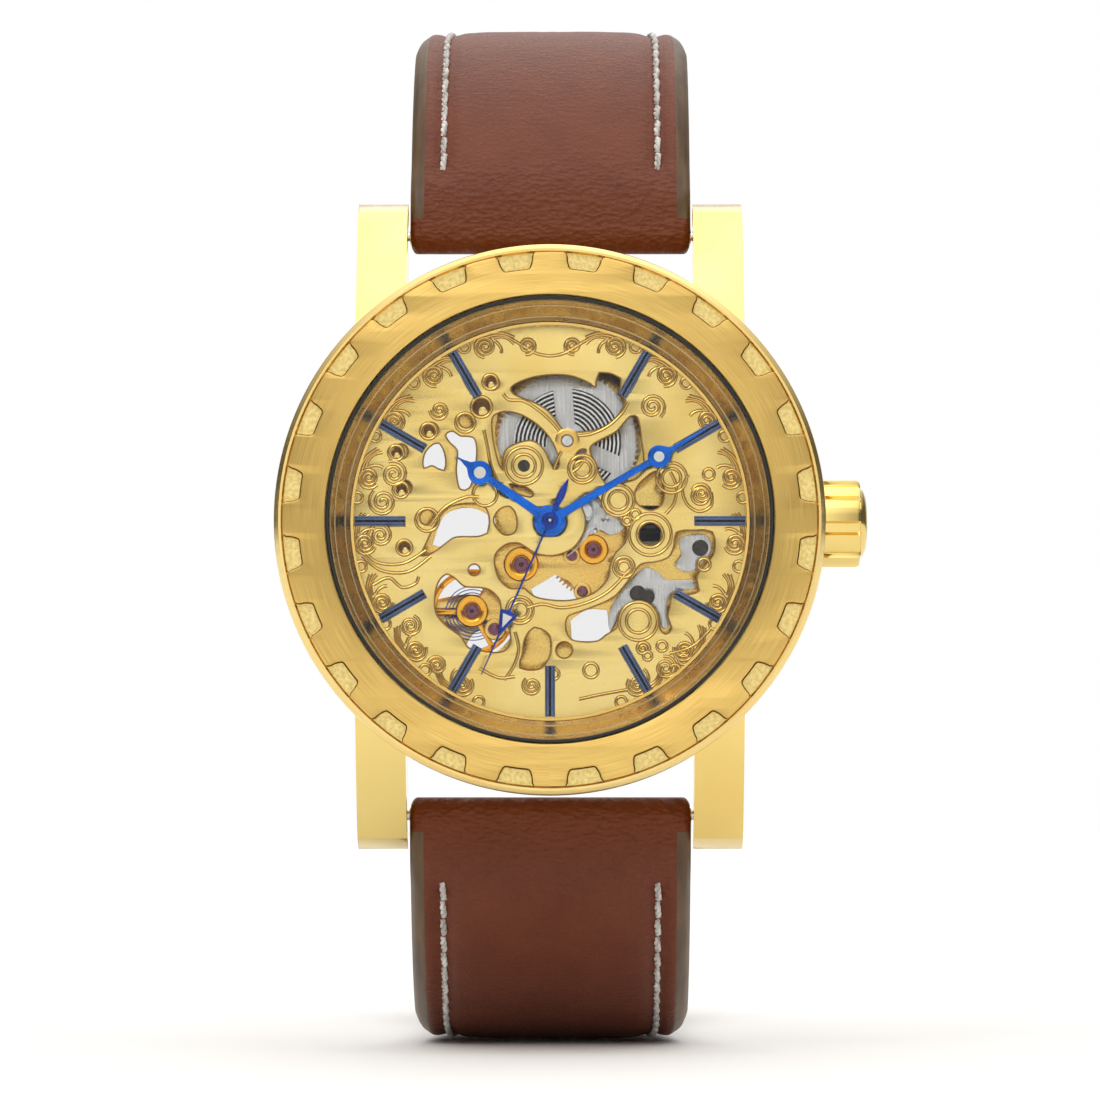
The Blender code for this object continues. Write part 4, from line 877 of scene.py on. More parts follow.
def make_engraving():
    top = span("dial_plate")[1].z
    paths = engraving()
    dots = [circle(clock_point(16.15, side * clock), 0.45, 16)
            for clock in (26.2, 44.6, 64, 83, 103.5, 122, 140, 158.5) for side in (1, -1)]
    rings = dots + [circle(at, size, 28) for at, size in BOSSES]
    rings += [circle(at, size * 0.62, 24) for at, size in RAISED]
    rings += [circle(at, size, 24) for at, size in RECESSES]
    closed = [ring + ring[:1] for ring in rings]
    lines = [lifted(path, top) for path in paths + closed]
    solid("dial_engraving_shadow", tubes(lines, 0.15, 0.12), "stain", "case")
    solid("dial_engraving", tubes(lines, 0.075, 0.9, 2), "bead_gold", "case")
    # Each recess is a dark cap with a smaller gold seat set off towards 6 o'clock, leaving a
    # painted crescent of shade on its upper side.
    wells = [pip(at, size, top - 0.3, top + 0.05, 32) for at, size in RECESSES]
    floors = [pip((x + size * 0.1, y - size * 0.3), size * 0.6, top - 0.2, top + 0.07, 24)
              for (x, y), size in RECESSES]
    solid("dial_screw_wells", join(*wells), "recess", "case")
    solid("dial_screw_seats", join(*floors), "dial_gold", "case")


def pip(at, radius, low, high, steps=40):
    """A small domed cap standing on a plate."""
    dome = [(0, high), (radius * 0.5, high - 0.02), (radius * 0.85, high - 0.08),
            (radius, high - 0.2), (radius, low), (0, low)]
    return lathe(dome, steps, (*at, 0))


def chaton(at, radius, low, high):
    """A polished cup that holds a jewel: a rounded rim round a sunk middle."""
    profile = [(radius, low), (radius, high - 0.12), (radius * 0.93, high - 0.03),
               (radius * 0.8, high), (radius * 0.62, high - 0.03), (radius * 0.5, high - 0.16),
               (radius * 0.46, high - 0.3), (radius * 0.46, low)]
    return lathe(profile, 48, (*at, 0))


def make_jewels():
    top = span("main_plate")[1].z
    jewels = [(joint_at("third_turn").xy, 1.25), (joint_at("escape_turn").xy, 1.45),
              (joint_at("balance_swing").xy, 1.35), ((-5.4, 2.26), 0.8), ((5.9, -5.6), 0.6)]
    cups = [chaton(at, size, top - 0.2, top + 0.5) for at, size in jewels]
    solid("jewel_cups", join(*cups), "chaton_gold", "case")
    stones = [pip(at, size * 0.44, top - 0.2, top + 0.22) for at, size in jewels]
    small = [((1.81, -2.82), 0.5), ((2.69, -5.81), 0.5), ((0.0, -8.16), 0.55),
             ((-4.6, -8.95), 0.6)]
    stones += [pip(at, size, top - 0.2, top + 0.15) for at, size in small]
    solid("ruby_jewels", join(*stones), "ruby", "case")
    rims = [chaton(at, size * 1.5, top - 0.2, top + 0.18) for at, size in small]
    solid("small_jewel_rims", join(*rims), "lower_gold", "case")
    holes = [pip(at, size * 0.16, top, top + 0.3, 16) for at, size in jewels]
    solid("pivot_ends", join(*holes), "dark_steel", "case")


# ---------------------------------------------------------------- screws
def slotted(at, radius, low, high, degrees=30, facing=1):
    """A screw head in two halves, so that its slot is a real gap over a lower disc."""
    gap = radius * 0.14
    lean = math.degrees(math.asin(gap / radius))
    half = rotated(arc((0, 0), radius * 0.97, lean, 180 - lean, 16), degrees, at)
    other = rotated(arc((0, 0), radius * 0.97, 180 + lean, 360 - lean, 16), degrees, at)
    cut = 0.45 * (high - low)
    base = (low, high - cut) if facing > 0 else (low + cut, high)
    return join(slab([half], low, high, 0.03), slab([other], low, high, 0.03),
                slab([circle(at, radius * 0.96, 32)], *base, 0.01))


def make_screws():
    for name in ("setting_lever_screw", "yoke_screw"):
        top = span(name)[1].z
        head = slotted(middle(name).xy, radius_of(name), top - 0.12, top, 40)
        solid(name + "_head", head, "dark_steel", "case", name, "dark_steel")
    for name, turn in (("barrel_bridge_screw", 20), ("train_bridge_screw", 75),
                       ("balance_cock_screw", 140)):
        base = span(name)[0].z
        head = slotted(middle(name).xy, radius_of(name), base, base + 0.25, turn, -1)
        solid(name + "_head", head, "dark_steel", "case", name, "dark_steel")
    top = span("dial_plate")[1].z
    heads = [slotted((-2.17, 4.61), 0.52, top, top + 0.16, 100),
             slotted((8.1, -6.3), 0.62, top - 0.35, top - 0.1, 30)]
    solid("dial_screws", join(*heads), "dark_steel", "case", slot="dark_steel")
    base = span("crown_wheel_screw")[0].z
    head = slotted(middle("crown_wheel_screw").xy, 1.1, base, base + 0.4, 65, -1)
    solid("crown_wheel_screw_head", head, "bright_steel", "crown_wheel", "crown_wheel_screw",
          "dark_steel")


# ---------------------------------------------------------------- wheels
def cut_teeth(teeth, tooth, at):
    """A wheel's outline from one tooth's corners, each a radius and a turn in degrees."""
    return [polar_point(radius, 360 / teeth * i + turn, at) for i in range(teeth)
            for radius, turn in tooth]


def toothed(radius, teeth, depth, at=(0, 0)):
    """A wheel's outline with upright teeth that narrow outwards."""
    pitch = 360 / teeth
    tooth = ((radius - depth, -0.3 * pitch), (radius, -0.12 * pitch), (radius, 0.12 * pitch),
             (radius - depth, 0.3 * pitch))
    return cut_teeth(teeth, tooth, at)


def spokes(at, inner, outer, count, half_width, turn=0.0):
    """The windows between a wheel's spokes, with rounded corners."""
    windows = []
    for i in range(count):
        face = turn + 360 / count * i
        wide = 180 / count - math.degrees(half_width / outer)
        tight = 180 / count - math.degrees(half_width / inner)
        corners = arc(at, outer, face - wide, face + wide, 10)
        corners += arc(at, inner, face + tight, face - tight, 4)
        windows.append(corners)
    return windows


def wheel(node, body, joint, radius, teeth, low, high, bore=0.0, shaft=0.3):
    """A toothed brass wheel with five spokes, in place of a plain CAD wheel, and its arbor,
    which a bore lets run round another."""
    at = tuple(joint_at(joint).xy)
    base, end = span(node)
    disc = slab([toothed(radius + 0.1, teeth, 0.28, at)]
                + spokes(at, 1.0, radius - 0.75, 5, 0.2), low, high, 0.02)
    solid(node + "_teeth", disc, "brass", body, node)
    arbor = [(bore, end.z), (bore + 0.12, end.z), (bore + 0.14, end.z - 0.5),
             (shaft, end.z - 0.55), (shaft, high), (0.45, high), (0.45, low), (shaft, low),
             (shaft, base.z + 0.4), (bore + 0.14, base.z + 0.35), (bore + 0.12, base.z),
             (bore, base.z)]
    solid(node + "_arbor", lathe(arbor, 32, (*at, 0)), "bright_steel", body)


def pinion(name, body, at, radius, leaves, low, high, bore=0.0):
    loops = [toothed(radius + 0.08, leaves, 0.24, at)]
    if bore:
        loops.append(circle(at, bore, 24))
    solid(name, slab(loops, low, high, 0.02), "bright_steel", body)


def make_train():
    wheel("centre_wheel", "minutes", "minutes_turn", 3.77, 60, 4.65, 4.9, 0.2, 0.38)
    wheel("third_wheel", "third", "third_turn", 3.74, 60, 4.3, 4.5)
    wheel("fourth_wheel", "seconds", "seconds_turn", 3.86, 64, 3.97, 4.15, 0.0, 0.16)
    pinion("third_pinion", "third", joint_at("third_turn").xy, 0.44, 8, 4.58, 5.0)
    centre = joint_at("minutes_turn").xy
    pinion("centre_pinion", "minutes", centre, 0.77, 10, 6.05, 6.5)
    low, high = span("cannon_pinion")
    pinion("cannon_pinion_leaves", "minutes", centre, 1.0, 12, low.z, high.z, 0.4)
    finish_node("cannon_pinion", "bright_steel")
    finish_node("minute_wheel", "bright_steel")
    base = span("hour_wheel")[0].z
    hour = slab([toothed(2.7, 32, 0.25), circle((0, 0), 0.85, 32)], base, base + 0.2, 0.02)
    solid("hour_wheel_teeth", hour, "bright_steel", "hours", slot="brass")
    finish_node("hour_wheel", "brass")
    at = joint_at("minute_wheel_turn").xy
    solid("minute_wheel_teeth", slab([toothed(2.1, 30, 0.25, at), circle(at, 0.5, 24)], 7.78, 7.95,
                                     0.02), "brass", "minute_wheel")


def make_barrel():
    at = tuple(joint_at("barrel_turn").xy)
    low, high = span("barrel_drum")
    rim = slab([toothed(6.1, 72, 0.32, at)] + spokes(at, 1.7, 4.5, 3, 0.8, 35),
               high.z - 0.3, high.z, 0.03)
    drum = lathe([(5.72, high.z - 0.3), (5.72, low.z), (0.95, low.z), (0.95, low.z + 0.2),
                  (5.45, low.z + 0.2), (5.45, high.z - 0.3)], 96, (*at, 0))
    solid("barrel_toothed_lid", rim, "steel", "barrel", "barrel_drum")
    solid("barrel_cup", drum, "dark_steel", "barrel")
    spring = ribbon(coil(at, 1.2, 5.3, 12, 40), 0.07, 5.32, 6.15)
    solid("mainspring_coil", spring, "bright_steel", "barrel", "mainspring")
    low, high = span("barrel_arbor")
    arbor = lathe([(0, high.z), (0.42, high.z), (0.45, high.z - 0.03), (0.45, 6.7), (0.8, 6.7),
                   (0.8, low.z), (0, low.z)], 40, (*at, 0))
    solid("barrel_arbor_post", arbor, "bright_steel", "ratchet", "barrel_arbor")
    boss = lathe([(1.0, 8.95), (1.0, 8.8), (0.55, 8.8), (0.55, 9.0), (0.9, 9.0)], 48, (*at, 0))
    solid("barrel_boss", boss, "bead_gold", "case")


def strip_section(path, i, half):
    """The two edge points of a flat strip at a place along its path."""
    before, after = Vector(path[max(i - 1, 0)]), Vector(path[min(i + 1, len(path) - 1)])
    along = (after - before).normalized()
    side = Vector((-along.y, along.x, 0)) * half
    here = Vector(path[i])
    return (here + side, here - side)


def ribbon(path, half, low, high):
    """A flat strip, as a spring is wound from, along a level path."""
    rings = []
    for i in range(len(path)):
        left, right = strip_section(path, i, half)
        rings.append([(left.x, left.y, high), (left.x, left.y, low), (right.x, right.y, low),
                      (right.x, right.y, high)])
    return loft(rings)


def coil(at, inner, outer, turns, per_turn):
    """A flat spiral path round a point."""
    count = turns * per_turn
    return [(*polar_point(inner + (outer - inner) * i / count, 360 * i / per_turn, at), 0)
            for i in range(count + 1)]


def make_escapement():
    at = tuple(joint_at("escape_turn").xy)
    teeth = cut_teeth(15, ((1.55, 0), (2.05, 7), (1.98, 10), (1.55, 13)), at)
    low, high = span("escape_wheel")
    disc = slab([teeth] + spokes(at, 0.75, 1.25, 4, 0.15), 6.05, 6.2, 0.02)
    solid("escape_wheel_teeth", disc, "bright_steel", "escape", "escape_wheel")
    solid("escape_arbor", lathe([(0, high.z), (0.14, high.z), (0.3, 6.5), (0.3, 3.95), (0.14, 3.9),
                                 (0.14, low.z), (0, low.z)], 24, (*at, 0)), "bright_steel",
          "escape")
    finish_node("pallet_fork", "bright_steel")
    at = tuple(joint_at("balance_swing").xy)
    low, high = span("balance_wheel")
    r = radius_of("balance_wheel")
    rim = [slab([circle(at, r, 96)] + spokes(at, 0.6, r - 0.5, 3, 0.22), 4.95, 5.4, 0.06)]
    rim += [pip(polar_point(r - 0.25, 20 + 40 * i, at), 0.2, 5.3, 5.5, 16) for i in range(9)]
    solid("balance_rim", join(*rim), "chaton_gold", "balance", "balance_wheel", "brass")
    staff = [(0, high.z), (0.14, high.z), (0.16, 6.4), (0.7, 6.25), (0.7, 6.05), (0.3, 6.0),
             (0.3, 3.95), (0.14, 3.9), (0.14, low.z), (0, low.z)]
    solid("balance_staff", lathe(staff, 32, (*at, 0)), "bright_steel", "balance")
    spring = ribbon(coil(at, 0.5, 2.4, 7, 30), 0.035, 4.35, 4.6)
    solid("hairspring_coil", spring, "deep_blue", "balance", "hairspring")


# ---------------------------------------------------------------- plates, bridges, keyless work
def make_plates():
    bridges = ("barrel_bridge", "train_bridge", "balance_cock")
    plates = [("main_plate", "lower_gold", True, 0.06)]
    plates += [(bridge, "dial_gold", False, 0.12) for bridge in bridges]
    for node, look, front, bevel in plates:
        low, high = span(node)
        top = high.z if front else low.z + 0.7
        loops = [curved(loop, 3) for loop in plate_outlines(node, front)]
        solid(node + "_finished", slab(loops, low.z, top, bevel), look, "case", node, crease=40)
    for node in bridges:
        post = lathe([(0.9, 6.55), (0.9, 3.8), (0.45, 3.8), (0.45, 6.55)], 48,
                     (*middle(node + "_screw").xy, 0))
        solid(node + "_post", post, "dial_gold", "case")
    pivots = [joint_at(name).xy for name in
              ("seconds_turn", "third_turn", "escape_turn", "balance_swing")]
    back_jewels = [chaton_back(at, 0.85) for at in pivots]
    solid("bridge_jewel_cups", join(*back_jewels), "chaton_gold", "case")
    stones = [lathe([(0, 3.02), (0.34, 3.0), (0.4, 3.1), (0.4, 3.4), (0, 3.4)], 32, (*at, 0))
              for at in pivots]
    solid("bridge_jewels", join(*stones), "ruby", "case")
    steel = (("jumper_cover", "case"), ("setting_lever", "setting_lever"), ("yoke", "yoke"),
             ("click", "click"))
    for node, body in steel:
        low, high = span(node)
        loops = [curved(loop, 4) for loop in plate_outlines(node)]
        solid(node + "_finished", slab(loops, low.z, high.z, 0.04), "steel", body, node)
    finish_node("pallet_cock", "lower_gold")
    finish_node("movement_ring", "brass")
    finish_node("case_back_gasket", "rubber")
    finish_node("crown_gasket", "rubber")


def chaton_back(at, radius):
    profile = [(radius, 3.3), (radius, 3.1), (radius * 0.9, 3.03), (radius * 0.7, 3.03),
               (radius * 0.5, 3.12), (radius * 0.47, 3.3)]
    return lathe(profile, 48, (*at, 0))


def make_winding():
    at = tuple(joint_at("ratchet_turn").xy)
    low, high = span("ratchet_wheel")
    teeth = cut_teeth(55, ((5.15, 0), (5.5, 4.6), (5.42, 5.6)), at)
    solid("ratchet_teeth", slab([teeth, circle(at, 0.85, 32)], low.z, high.z, 0.03), "steel",
          "ratchet", "ratchet_wheel")
    screw = slotted(at, 1.7, low.z - 0.3, low.z, 10, -1)
    solid("ratchet_screw", screw, "bright_steel", "ratchet")
    at = tuple(joint_at("crown_wheel_turn").xy)
    low, high = span("crown_wheel")
    solid("crown_wheel_teeth", slab([toothed(3.2, 31, 0.32, at), circle(at, 0.6, 32)], low.z,
                                    high.z, 0.03), "steel", "crown_wheel", "crown_wheel")
    for node, leaves, look in (("winding_pinion", 15, "bright_steel"),
                               ("sliding_pinion", 12, "dark_steel")):
        low, high = span(node)
        loops = [toothed(1.5, leaves, 0.3), circle((0, 0), 0.66, 24)]
        verts, faces = slab(loops, low.x, high.x, 0.03)
        shape = ([(z, x, y + middle(node).z) for x, y, z in verts], faces)
        solid(node + "_leaves", shape, look, node, node)
    low, high = span("winding_stem")
    stem = [(0, high.x), (0.55, high.x), (0.6, high.x - 0.05), (0.6, 13.3), (0.35, 13.2),
            (0.35, 12.5), (0.6, 12.4), (0.6, 7.55), (0.5, low.x), (0, low.x)]
    solid("winding_stem_rod", lathe(stem, 32, (0, 0, middle("winding_stem").z), "x"),
          "bright_steel", "crown", "winding_stem")


# ---------------------------------------------------------------- markers and hands
def make_markers():
    low, high = span("hour_markers")
    outer_r = radius_of("hour_markers")
    ring = lathe([(outer_r - 0.02, low.z), (outer_r - 0.02, high.z - 0.2),
                  (outer_r - 0.25, high.z - 0.2), (outer_r - 0.25, low.z)], 160)
    solid("chapter_ring", ring, "bead_gold", "case", "hour_markers", "blued_steel")
    batons, stripes = [], []
    for hour in range(1, 12):
        turn = 90 - 30 * hour
        body = rotated(rectangle(12.0, 16.25, -0.42, 0.42), turn)
        batons.append(slab([body], low.z, high.z, 0.09))
        for offset, half in ((0.0, 0.11), (0.27, 0.025), (-0.27, 0.025)):
            line = rotated(rectangle(12.05, 16.2, offset - half, offset + half), turn)
            stripes.append(slab([line], high.z - 0.05, high.z + 0.012, 0.004))
    solid("hour_batons", join(*batons), "baton_blue", "case")
    solid("baton_stripes", join(*stripes), "baton_dark", "case")


def spade(hub_r, bead_y, bead_r, tip, stem):
    """Outline of a hand: round hub, slim tapering stem, round bead and a pointed tip."""
    right = arc((0, 0), hub_r, -90, 90 - math.degrees(math.asin(stem * 1.3 / hub_r)), 14)
    lean = math.degrees(math.asin(stem / bead_r))
    right += arc((0, bead_y), bead_r, -90 + lean, 50, 16)
    right += [(0.3, bead_y + bead_r + 0.12), (0.2, bead_y + bead_r + 0.5),
              (0.12, (bead_y + bead_r + tip) / 2), (0.05, tip - 0.15)]
    return right + [(0, tip)] + mirrored(right[1:])


def hand_turn(node):
    """Clock angle in degrees at which a CAD hand points, from its farthest vertex."""
    points = [bench(v.co) for v in frame["nodes"][node].data.vertices]
    far = max(points, key=lambda p: p.xy.length)
    return math.degrees(math.atan2(far.x, far.y))


def make_hands():
    for node, body, hub_r, bead_y, bead_r, tip, stem, lume_r, bore in (
            ("hour_hand", "hours", 1.32, 7.06, 1.0, 9.5, 0.3, 0.62, 0.88),
            ("minute_hand", "minutes", 1.15, 10.5, 0.95, 15.2, 0.26, 0.55, 0.37)):
        low, high = span(node)
        turn = -hand_turn(node)
        outline = rotated(spade(hub_r, bead_y, bead_r, tip, stem), turn)
        blade = slab([outline, circle((0, 0), bore, 32)], low.z, high.z, 0.05)
        solid(node + "_blade", blade, "hand_blue", body, node)
        dot = rotated([(0, bead_y)], turn)[0]
        solid(node + "_lume", pip(dot, lume_r, high.z - 0.08, high.z + 0.07), "lume", body)
    low, high = span("seconds_hand")
    turn = -hand_turn("seconds_hand")
    slim, hub_r = 0.085, 0.7
    hub = arc((0, 0), hub_r, -78, 82, 14)
    right = [(0.05, -3.75), (0.3, -2.7), (0.34, -2.2), (0.14, -0.75)] + hub
    right += [(slim, 1.0), (slim, 8.2), (0.75, 8.35), (0.72, 8.55), (slim, 10.4),
              (slim * 0.5, 14.0)]
    outline = rotated(right + mirrored(right), turn)
    blade = slab([outline, circle((0, 0), 0.16, 20)], low.z, high.z, 0.04)
    solid("seconds_hand_blade", blade, "deep_blue", "seconds", "seconds_hand")
    arrow = rotated([(-0.42, 8.6), (0.42, 8.6), (0, 9.75)], turn)
    solid("seconds_hand_lume", slab([arrow], high.z - 0.05, high.z + 0.05, 0.02), "lume",
          "seconds")
    cap = lathe([(0, high.z + 0.2), (0.18, high.z + 0.18), (0.3, high.z + 0.06),
                 (0.55, high.z + 0.03), (0.6, high.z - 0.05), (0, high.z - 0.05)], 48)
    solid("seconds_hand_cap", cap, "deep_blue", "seconds")
    collar = lathe([(0.98, 10.02), (1.02, 9.95), (1.02, 9.82), (0.4, 9.82), (0.4, 10.02)], 64)
    solid("minute_hand_collar", collar, "hand_blue", "minutes")


# ---------------------------------------------------------------- strap
FOLD_R = 1.5
SHOULDER_S = 4.0
FOLD_HEADING = math.radians(75)
STRAPS = {
    "strap_upper": {"side": 1, "turn": 33.0, "length": 68.0, "tail_bend": math.radians(0.6)},
    "strap_lower": {"side": -1, "turn": 31.7, "length": 106.0, "tail_bend": math.radians(0.3125)},
}
WIDE, NARROW = 23.6, 19.6
NARROWS_FROM, NARROWS_TO = 24.0, 60.0
SHOULDER_HALF = 2.15
THINS_FROM, THINS_TO = 6.0, 50.0
WRAP_END = 0.8
STITCH_INSET = 2.75
STITCH_START = 5.3
VALLEY = 0.64
TIP_LENGTH = 11.0
TONGUE_HOLES = 7
FIRST_HOLE_S, HOLE_PITCH = 56.0, 6.5
KEEPERS = (("keeper_fixed", "strap_upper", 59.5), ("keeper_free", "keeper_free", 52.0))


def heading(strap, s):
    """Angle of the strap from straight back, turning from the lug to its tail."""
    turn = STRAPS[strap]["turn"]
    if s <= 0:
        return FOLD_HEADING
    if s < turn:
        return FOLD_HEADING * (1 - s / turn)
    return -STRAPS[strap]["tail_bend"] * (s - turn)


@functools.lru_cache(maxsize=None)
def centre_at(strap, s):
    """The strap's centre at arc length s from its spring bar, as bench (y, z)."""
    bar = joint_at(strap + "_swing")
    y, z, done, step = abs(bar.y), bar.z, 0.0, 0.25
    if s <= 0:
        return y + s * math.sin(FOLD_HEADING), z - s * math.cos(FOLD_HEADING)
    while done < s:
        piece = min(step, s - done)
        angle = heading(strap, done + piece / 2)
        y += piece * math.sin(angle)
        z -= piece * math.cos(angle)
        done += piece
    return y, z


def on_strap(strap, s, x, out):
    """Bench point at arc length s, x across and out away from the wrist."""
    y, z = centre_at(strap, s)
    angle = heading(strap, s)
    return (x, STRAPS[strap]["side"] * (y + out * math.cos(angle)), z + out * math.sin(angle))


def laid(shape, strap, s):
    """Lays a shape of (across, along, out) on the strap's centre at arc length s."""
    verts, faces = shape
    y, z = centre_at(strap, s)
    c, t = math.cos(heading(strap, s)), math.sin(heading(strap, s))
    side = STRAPS[strap]["side"]
    return [(x, side * (y + along * t + out * c), z - along * c + out * t)
            for x, along, out in verts], faces


def eased(value, start, end):
    t = min(1.0, max(0.0, (value - start) / (end - start)))
    return t * t * (3 - 2 * t)


def strap_half_width(s):
    """As wide as the gap between the lugs, then narrowing to the buckle's width."""
    narrowed = min(1.0, max(0.0, (s - NARROWS_FROM) / (NARROWS_TO - NARROWS_FROM)))
    return (WIDE - (WIDE - NARROW) * narrowed) / 2


def strap_half_thickness(s):
    """Thin round the spring bar, thickest at the shoulder, then tapering to the tail."""
    grown = eased(s, -0.5, SHOULDER_S + 0.5)
    thinned = min(1.0, max(0.0, (s - THINS_FROM) / (THINS_TO - THINS_FROM)))
    return FOLD_R + (SHOULDER_HALF - FOLD_R) * grown - thinned


def pad_drop(s, half_t):
    """How far the padded top stands over the stitched rim, as a share of its height."""
    return eased(s, 2.5, 7.0) * half_t / SHOULDER_HALF


def strap_section(s, half_t, half_w):
    """Right half of a section: (x, out) from the crown of the pad, through the stitched
    valley and the raised rim, down the slanted edge to the lining."""
    pad, soft, w = pad_drop(s, half_t), min(1.0, half_t / 1.1), half_w
    return [(0, half_t), (w * 0.25, half_t), (w * 0.5, half_t - 0.04 * pad),
            (w - 4.1, half_t - 0.18 * pad), (w - 3.4, half_t - 0.42 * pad),
            (w - STITCH_INSET, half_t - VALLEY * pad), (w - 2.3, half_t - 0.6 * pad),
            (w - 1.9, half_t - 0.42 * pad), (w - 1.5, half_t - 0.32 * pad),
            (w - 1.15, half_t - 0.34 * pad - 0.03 * soft),
            (w - 0.8, half_t - 0.52 * pad - 0.1 * soft),
            (w - 0.35, half_t - 0.85 * pad - 0.2 * soft),
            (w - 0.08, half_t - 1.15 * pad - 0.45 * soft), (w, half_t - 1.3 * pad - 0.7 * soft),
            (w, 0.5 * soft - half_t), (w - 0.2, 0.12 * soft - half_t), (w - 0.7, -half_t),
            (w * 0.4, -half_t)]


EDGE_FROM, EDGE_TO = 9, 14


def strap_stations(strap):
    """(arc length, half thickness, half width) from the fold to the strap's end."""
    length = STRAPS[strap]["length"]
    width = strap_half_width(0)
    stations = [(-FOLD_R * math.cos(math.radians(a)), FOLD_R * math.sin(math.radians(a)),
                 width - 0.9 * (1 - a / 90) ** 2)
                for a in (4, 12, 20, 30, 40, 50, 60, 70, 80)]
    tail = TIP_LENGTH if strap == "strap_lower" else 1.2
    count = round((length - tail) / 0.5)
    for i in range(count + 1):
        s = (length - tail) * i / count
        stations.append((s, strap_half_thickness(s), strap_half_width(s)))
    end_t, end_w = stations[-1][1:]
    for share in (0.1, 0.2, 0.3, 0.4, 0.5, 0.6, 0.7, 0.78, 0.85, 0.91, 0.96, 0.99):
        s = length - tail + tail * share
        if strap == "strap_lower":
            stations.append((s, end_t, end_w * math.sqrt(1 - (0.95 * share) ** 2)))
        else:
            stations.append((s, end_t * math.sqrt(1 - share ** 2), end_w))
    return stations


def make_strap(strap):
    steps = 4
    rings, rows = [], []
    for s, half_t, half_w in strap_stations(strap):
        right = strap_section(s, half_t, half_w)
        loop = right + mirrored(right[1:])
        fine = curved(loop, steps, True, 80)
        rough = 0.035 + 0.09 * (1 - eased(s, 2.0, 7.5))
        ring, run, spread = [], 0.0, [0.0]
        for j, (x, out) in enumerate(fine):
            lift = rough * noise.noise(Vector((x * 0.9, s * 0.9, 3 + out * 0.5)))
            lift += 0.4 * rough * noise.noise(Vector((x * 2.3, s * 2.3, 9)))
            ring.append(on_strap(strap, s, x, out + (lift if out > 0 else 0)))
            following = Vector(fine[(j + 1) % len(fine)])
            run += (following - Vector((x, out))).length
            spread.append(run)
        rings.append(ring)
        rows.append((s, spread))
    count = len(rings[0])
    built = bmesh.new()
    layer = built.loops.layers.uv.new("UVMap")
    verts = [[built.verts.new((x * MM, -z * MM, y * MM)) for x, y, z in ring] for ring in rings]
    last = len(strap_section(0, 2, 12)) * 2 - 1
    for i in range(len(rings) - 1):
        for j in range(count):
            k = (j + 1) % count
            face = built.faces.new((verts[i][j], verts[i][k], verts[i + 1][k],
                                    verts[i + 1][j]))
            column = j // steps
            column = min(column, last - 1 - column)
            edge = EDGE_FROM <= column <= EDGE_TO and rows[i][0] > WRAP_END
            face.material_index = 1 if edge else (2 if column > EDGE_TO else 0)
            corners = ((i, j), (i, j + 1), (i + 1, j + 1), (i + 1, j))
            for loop, (row, col) in zip(face.loops, corners):
                s, spread = rows[row]
                loop[layer].uv = (spread[col] - (spread[-1] if j >= count / 2 else 0), s)
    built.faces.new(verts[0])
    built.faces.new(verts[-1])
    bmesh.ops.recalc_face_normals(built, faces=built.faces)
    mesh = bpy.data.meshes.new(strap)
    built.to_mesh(mesh)
    built.free()
    mesh.shade_smooth()
    for look in ("leather", "leather_edge", "lining"):
        mesh.materials.append(LOOKS[look])
    made = bpy.data.objects.new(strap + "_leather", mesh)
    bpy.context.scene.collection.objects.link(made)
    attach(made, strap)
    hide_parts(strap)
    return made


def rim_height(s):
    """Height of the stitched rim over the strap's centre."""
    half_t = strap_half_thickness(s)
    return half_t - VALLEY * pad_drop(s, half_t)


def make_stitches(strap):
    """A row of slightly slanted two-ply stitches down each side of a strap."""
    pitch, stitch, lean, ply_r, steps = 1.8, 1.5, 0.07, 0.12, 10
    end = STRAPS[strap]["length"] - (9.0 if strap == "strap_lower" else 4.5)
    paths = []
    s = STITCH_START
    while s < end:
        for side in (1, -1):
            x = side * (strap_half_width(s) - STITCH_INSET)
            for phase in (0, math.pi):
                path = []
                for i in range(steps + 1):
                    share = i / steps
                    sink = 0.3 * (abs(2 * share - 1) ** 4)
                    twist = phase + TAU * 1.5 * share
                    path.append(on_strap(strap, s + stitch * share,
                                         x + lean * (2 * share - 1) + ply_r * math.cos(twist),
                                         rim_height(s) + 0.16 - sink + ply_r * math.sin(twist)))
                paths.append(path)
        s += pitch
    solid(strap + "_stitches", tubes(paths, 0.17), "thread", strap, crease=80)


def hole_rims():
    """Raised rims round the tongue holes down the lower strap, each over a near-black disc of
    painted shade for the open hole.
    """
    rims, wells = [], []
    for i in range(TONGUE_HOLES):
        s = FIRST_HOLE_S + HOLE_PITCH * i
        top = strap_half_thickness(s)
        rims.append(laid(lathe([(0.95, top - 0.3), (1.35, top - 0.3), (1.3, top + 0.05),
                                (1.1, top + 0.08), (0.95, top)], 32), "strap_lower", s))
        wells.append(laid(lathe([(0, top - 0.02), (0.98, top - 0.02), (0.98, top - 0.1),
                                 (0, top - 0.1)], 32), "strap_lower", s))
    solid("strap_hole_rims", join(*rims), "leather_edge", "strap_lower")
    # The near-black discs are painted shade standing in for the holes.
    solid("strap_hole_shade_discs", join(*wells), "rubber", "strap_lower", slot="leather")


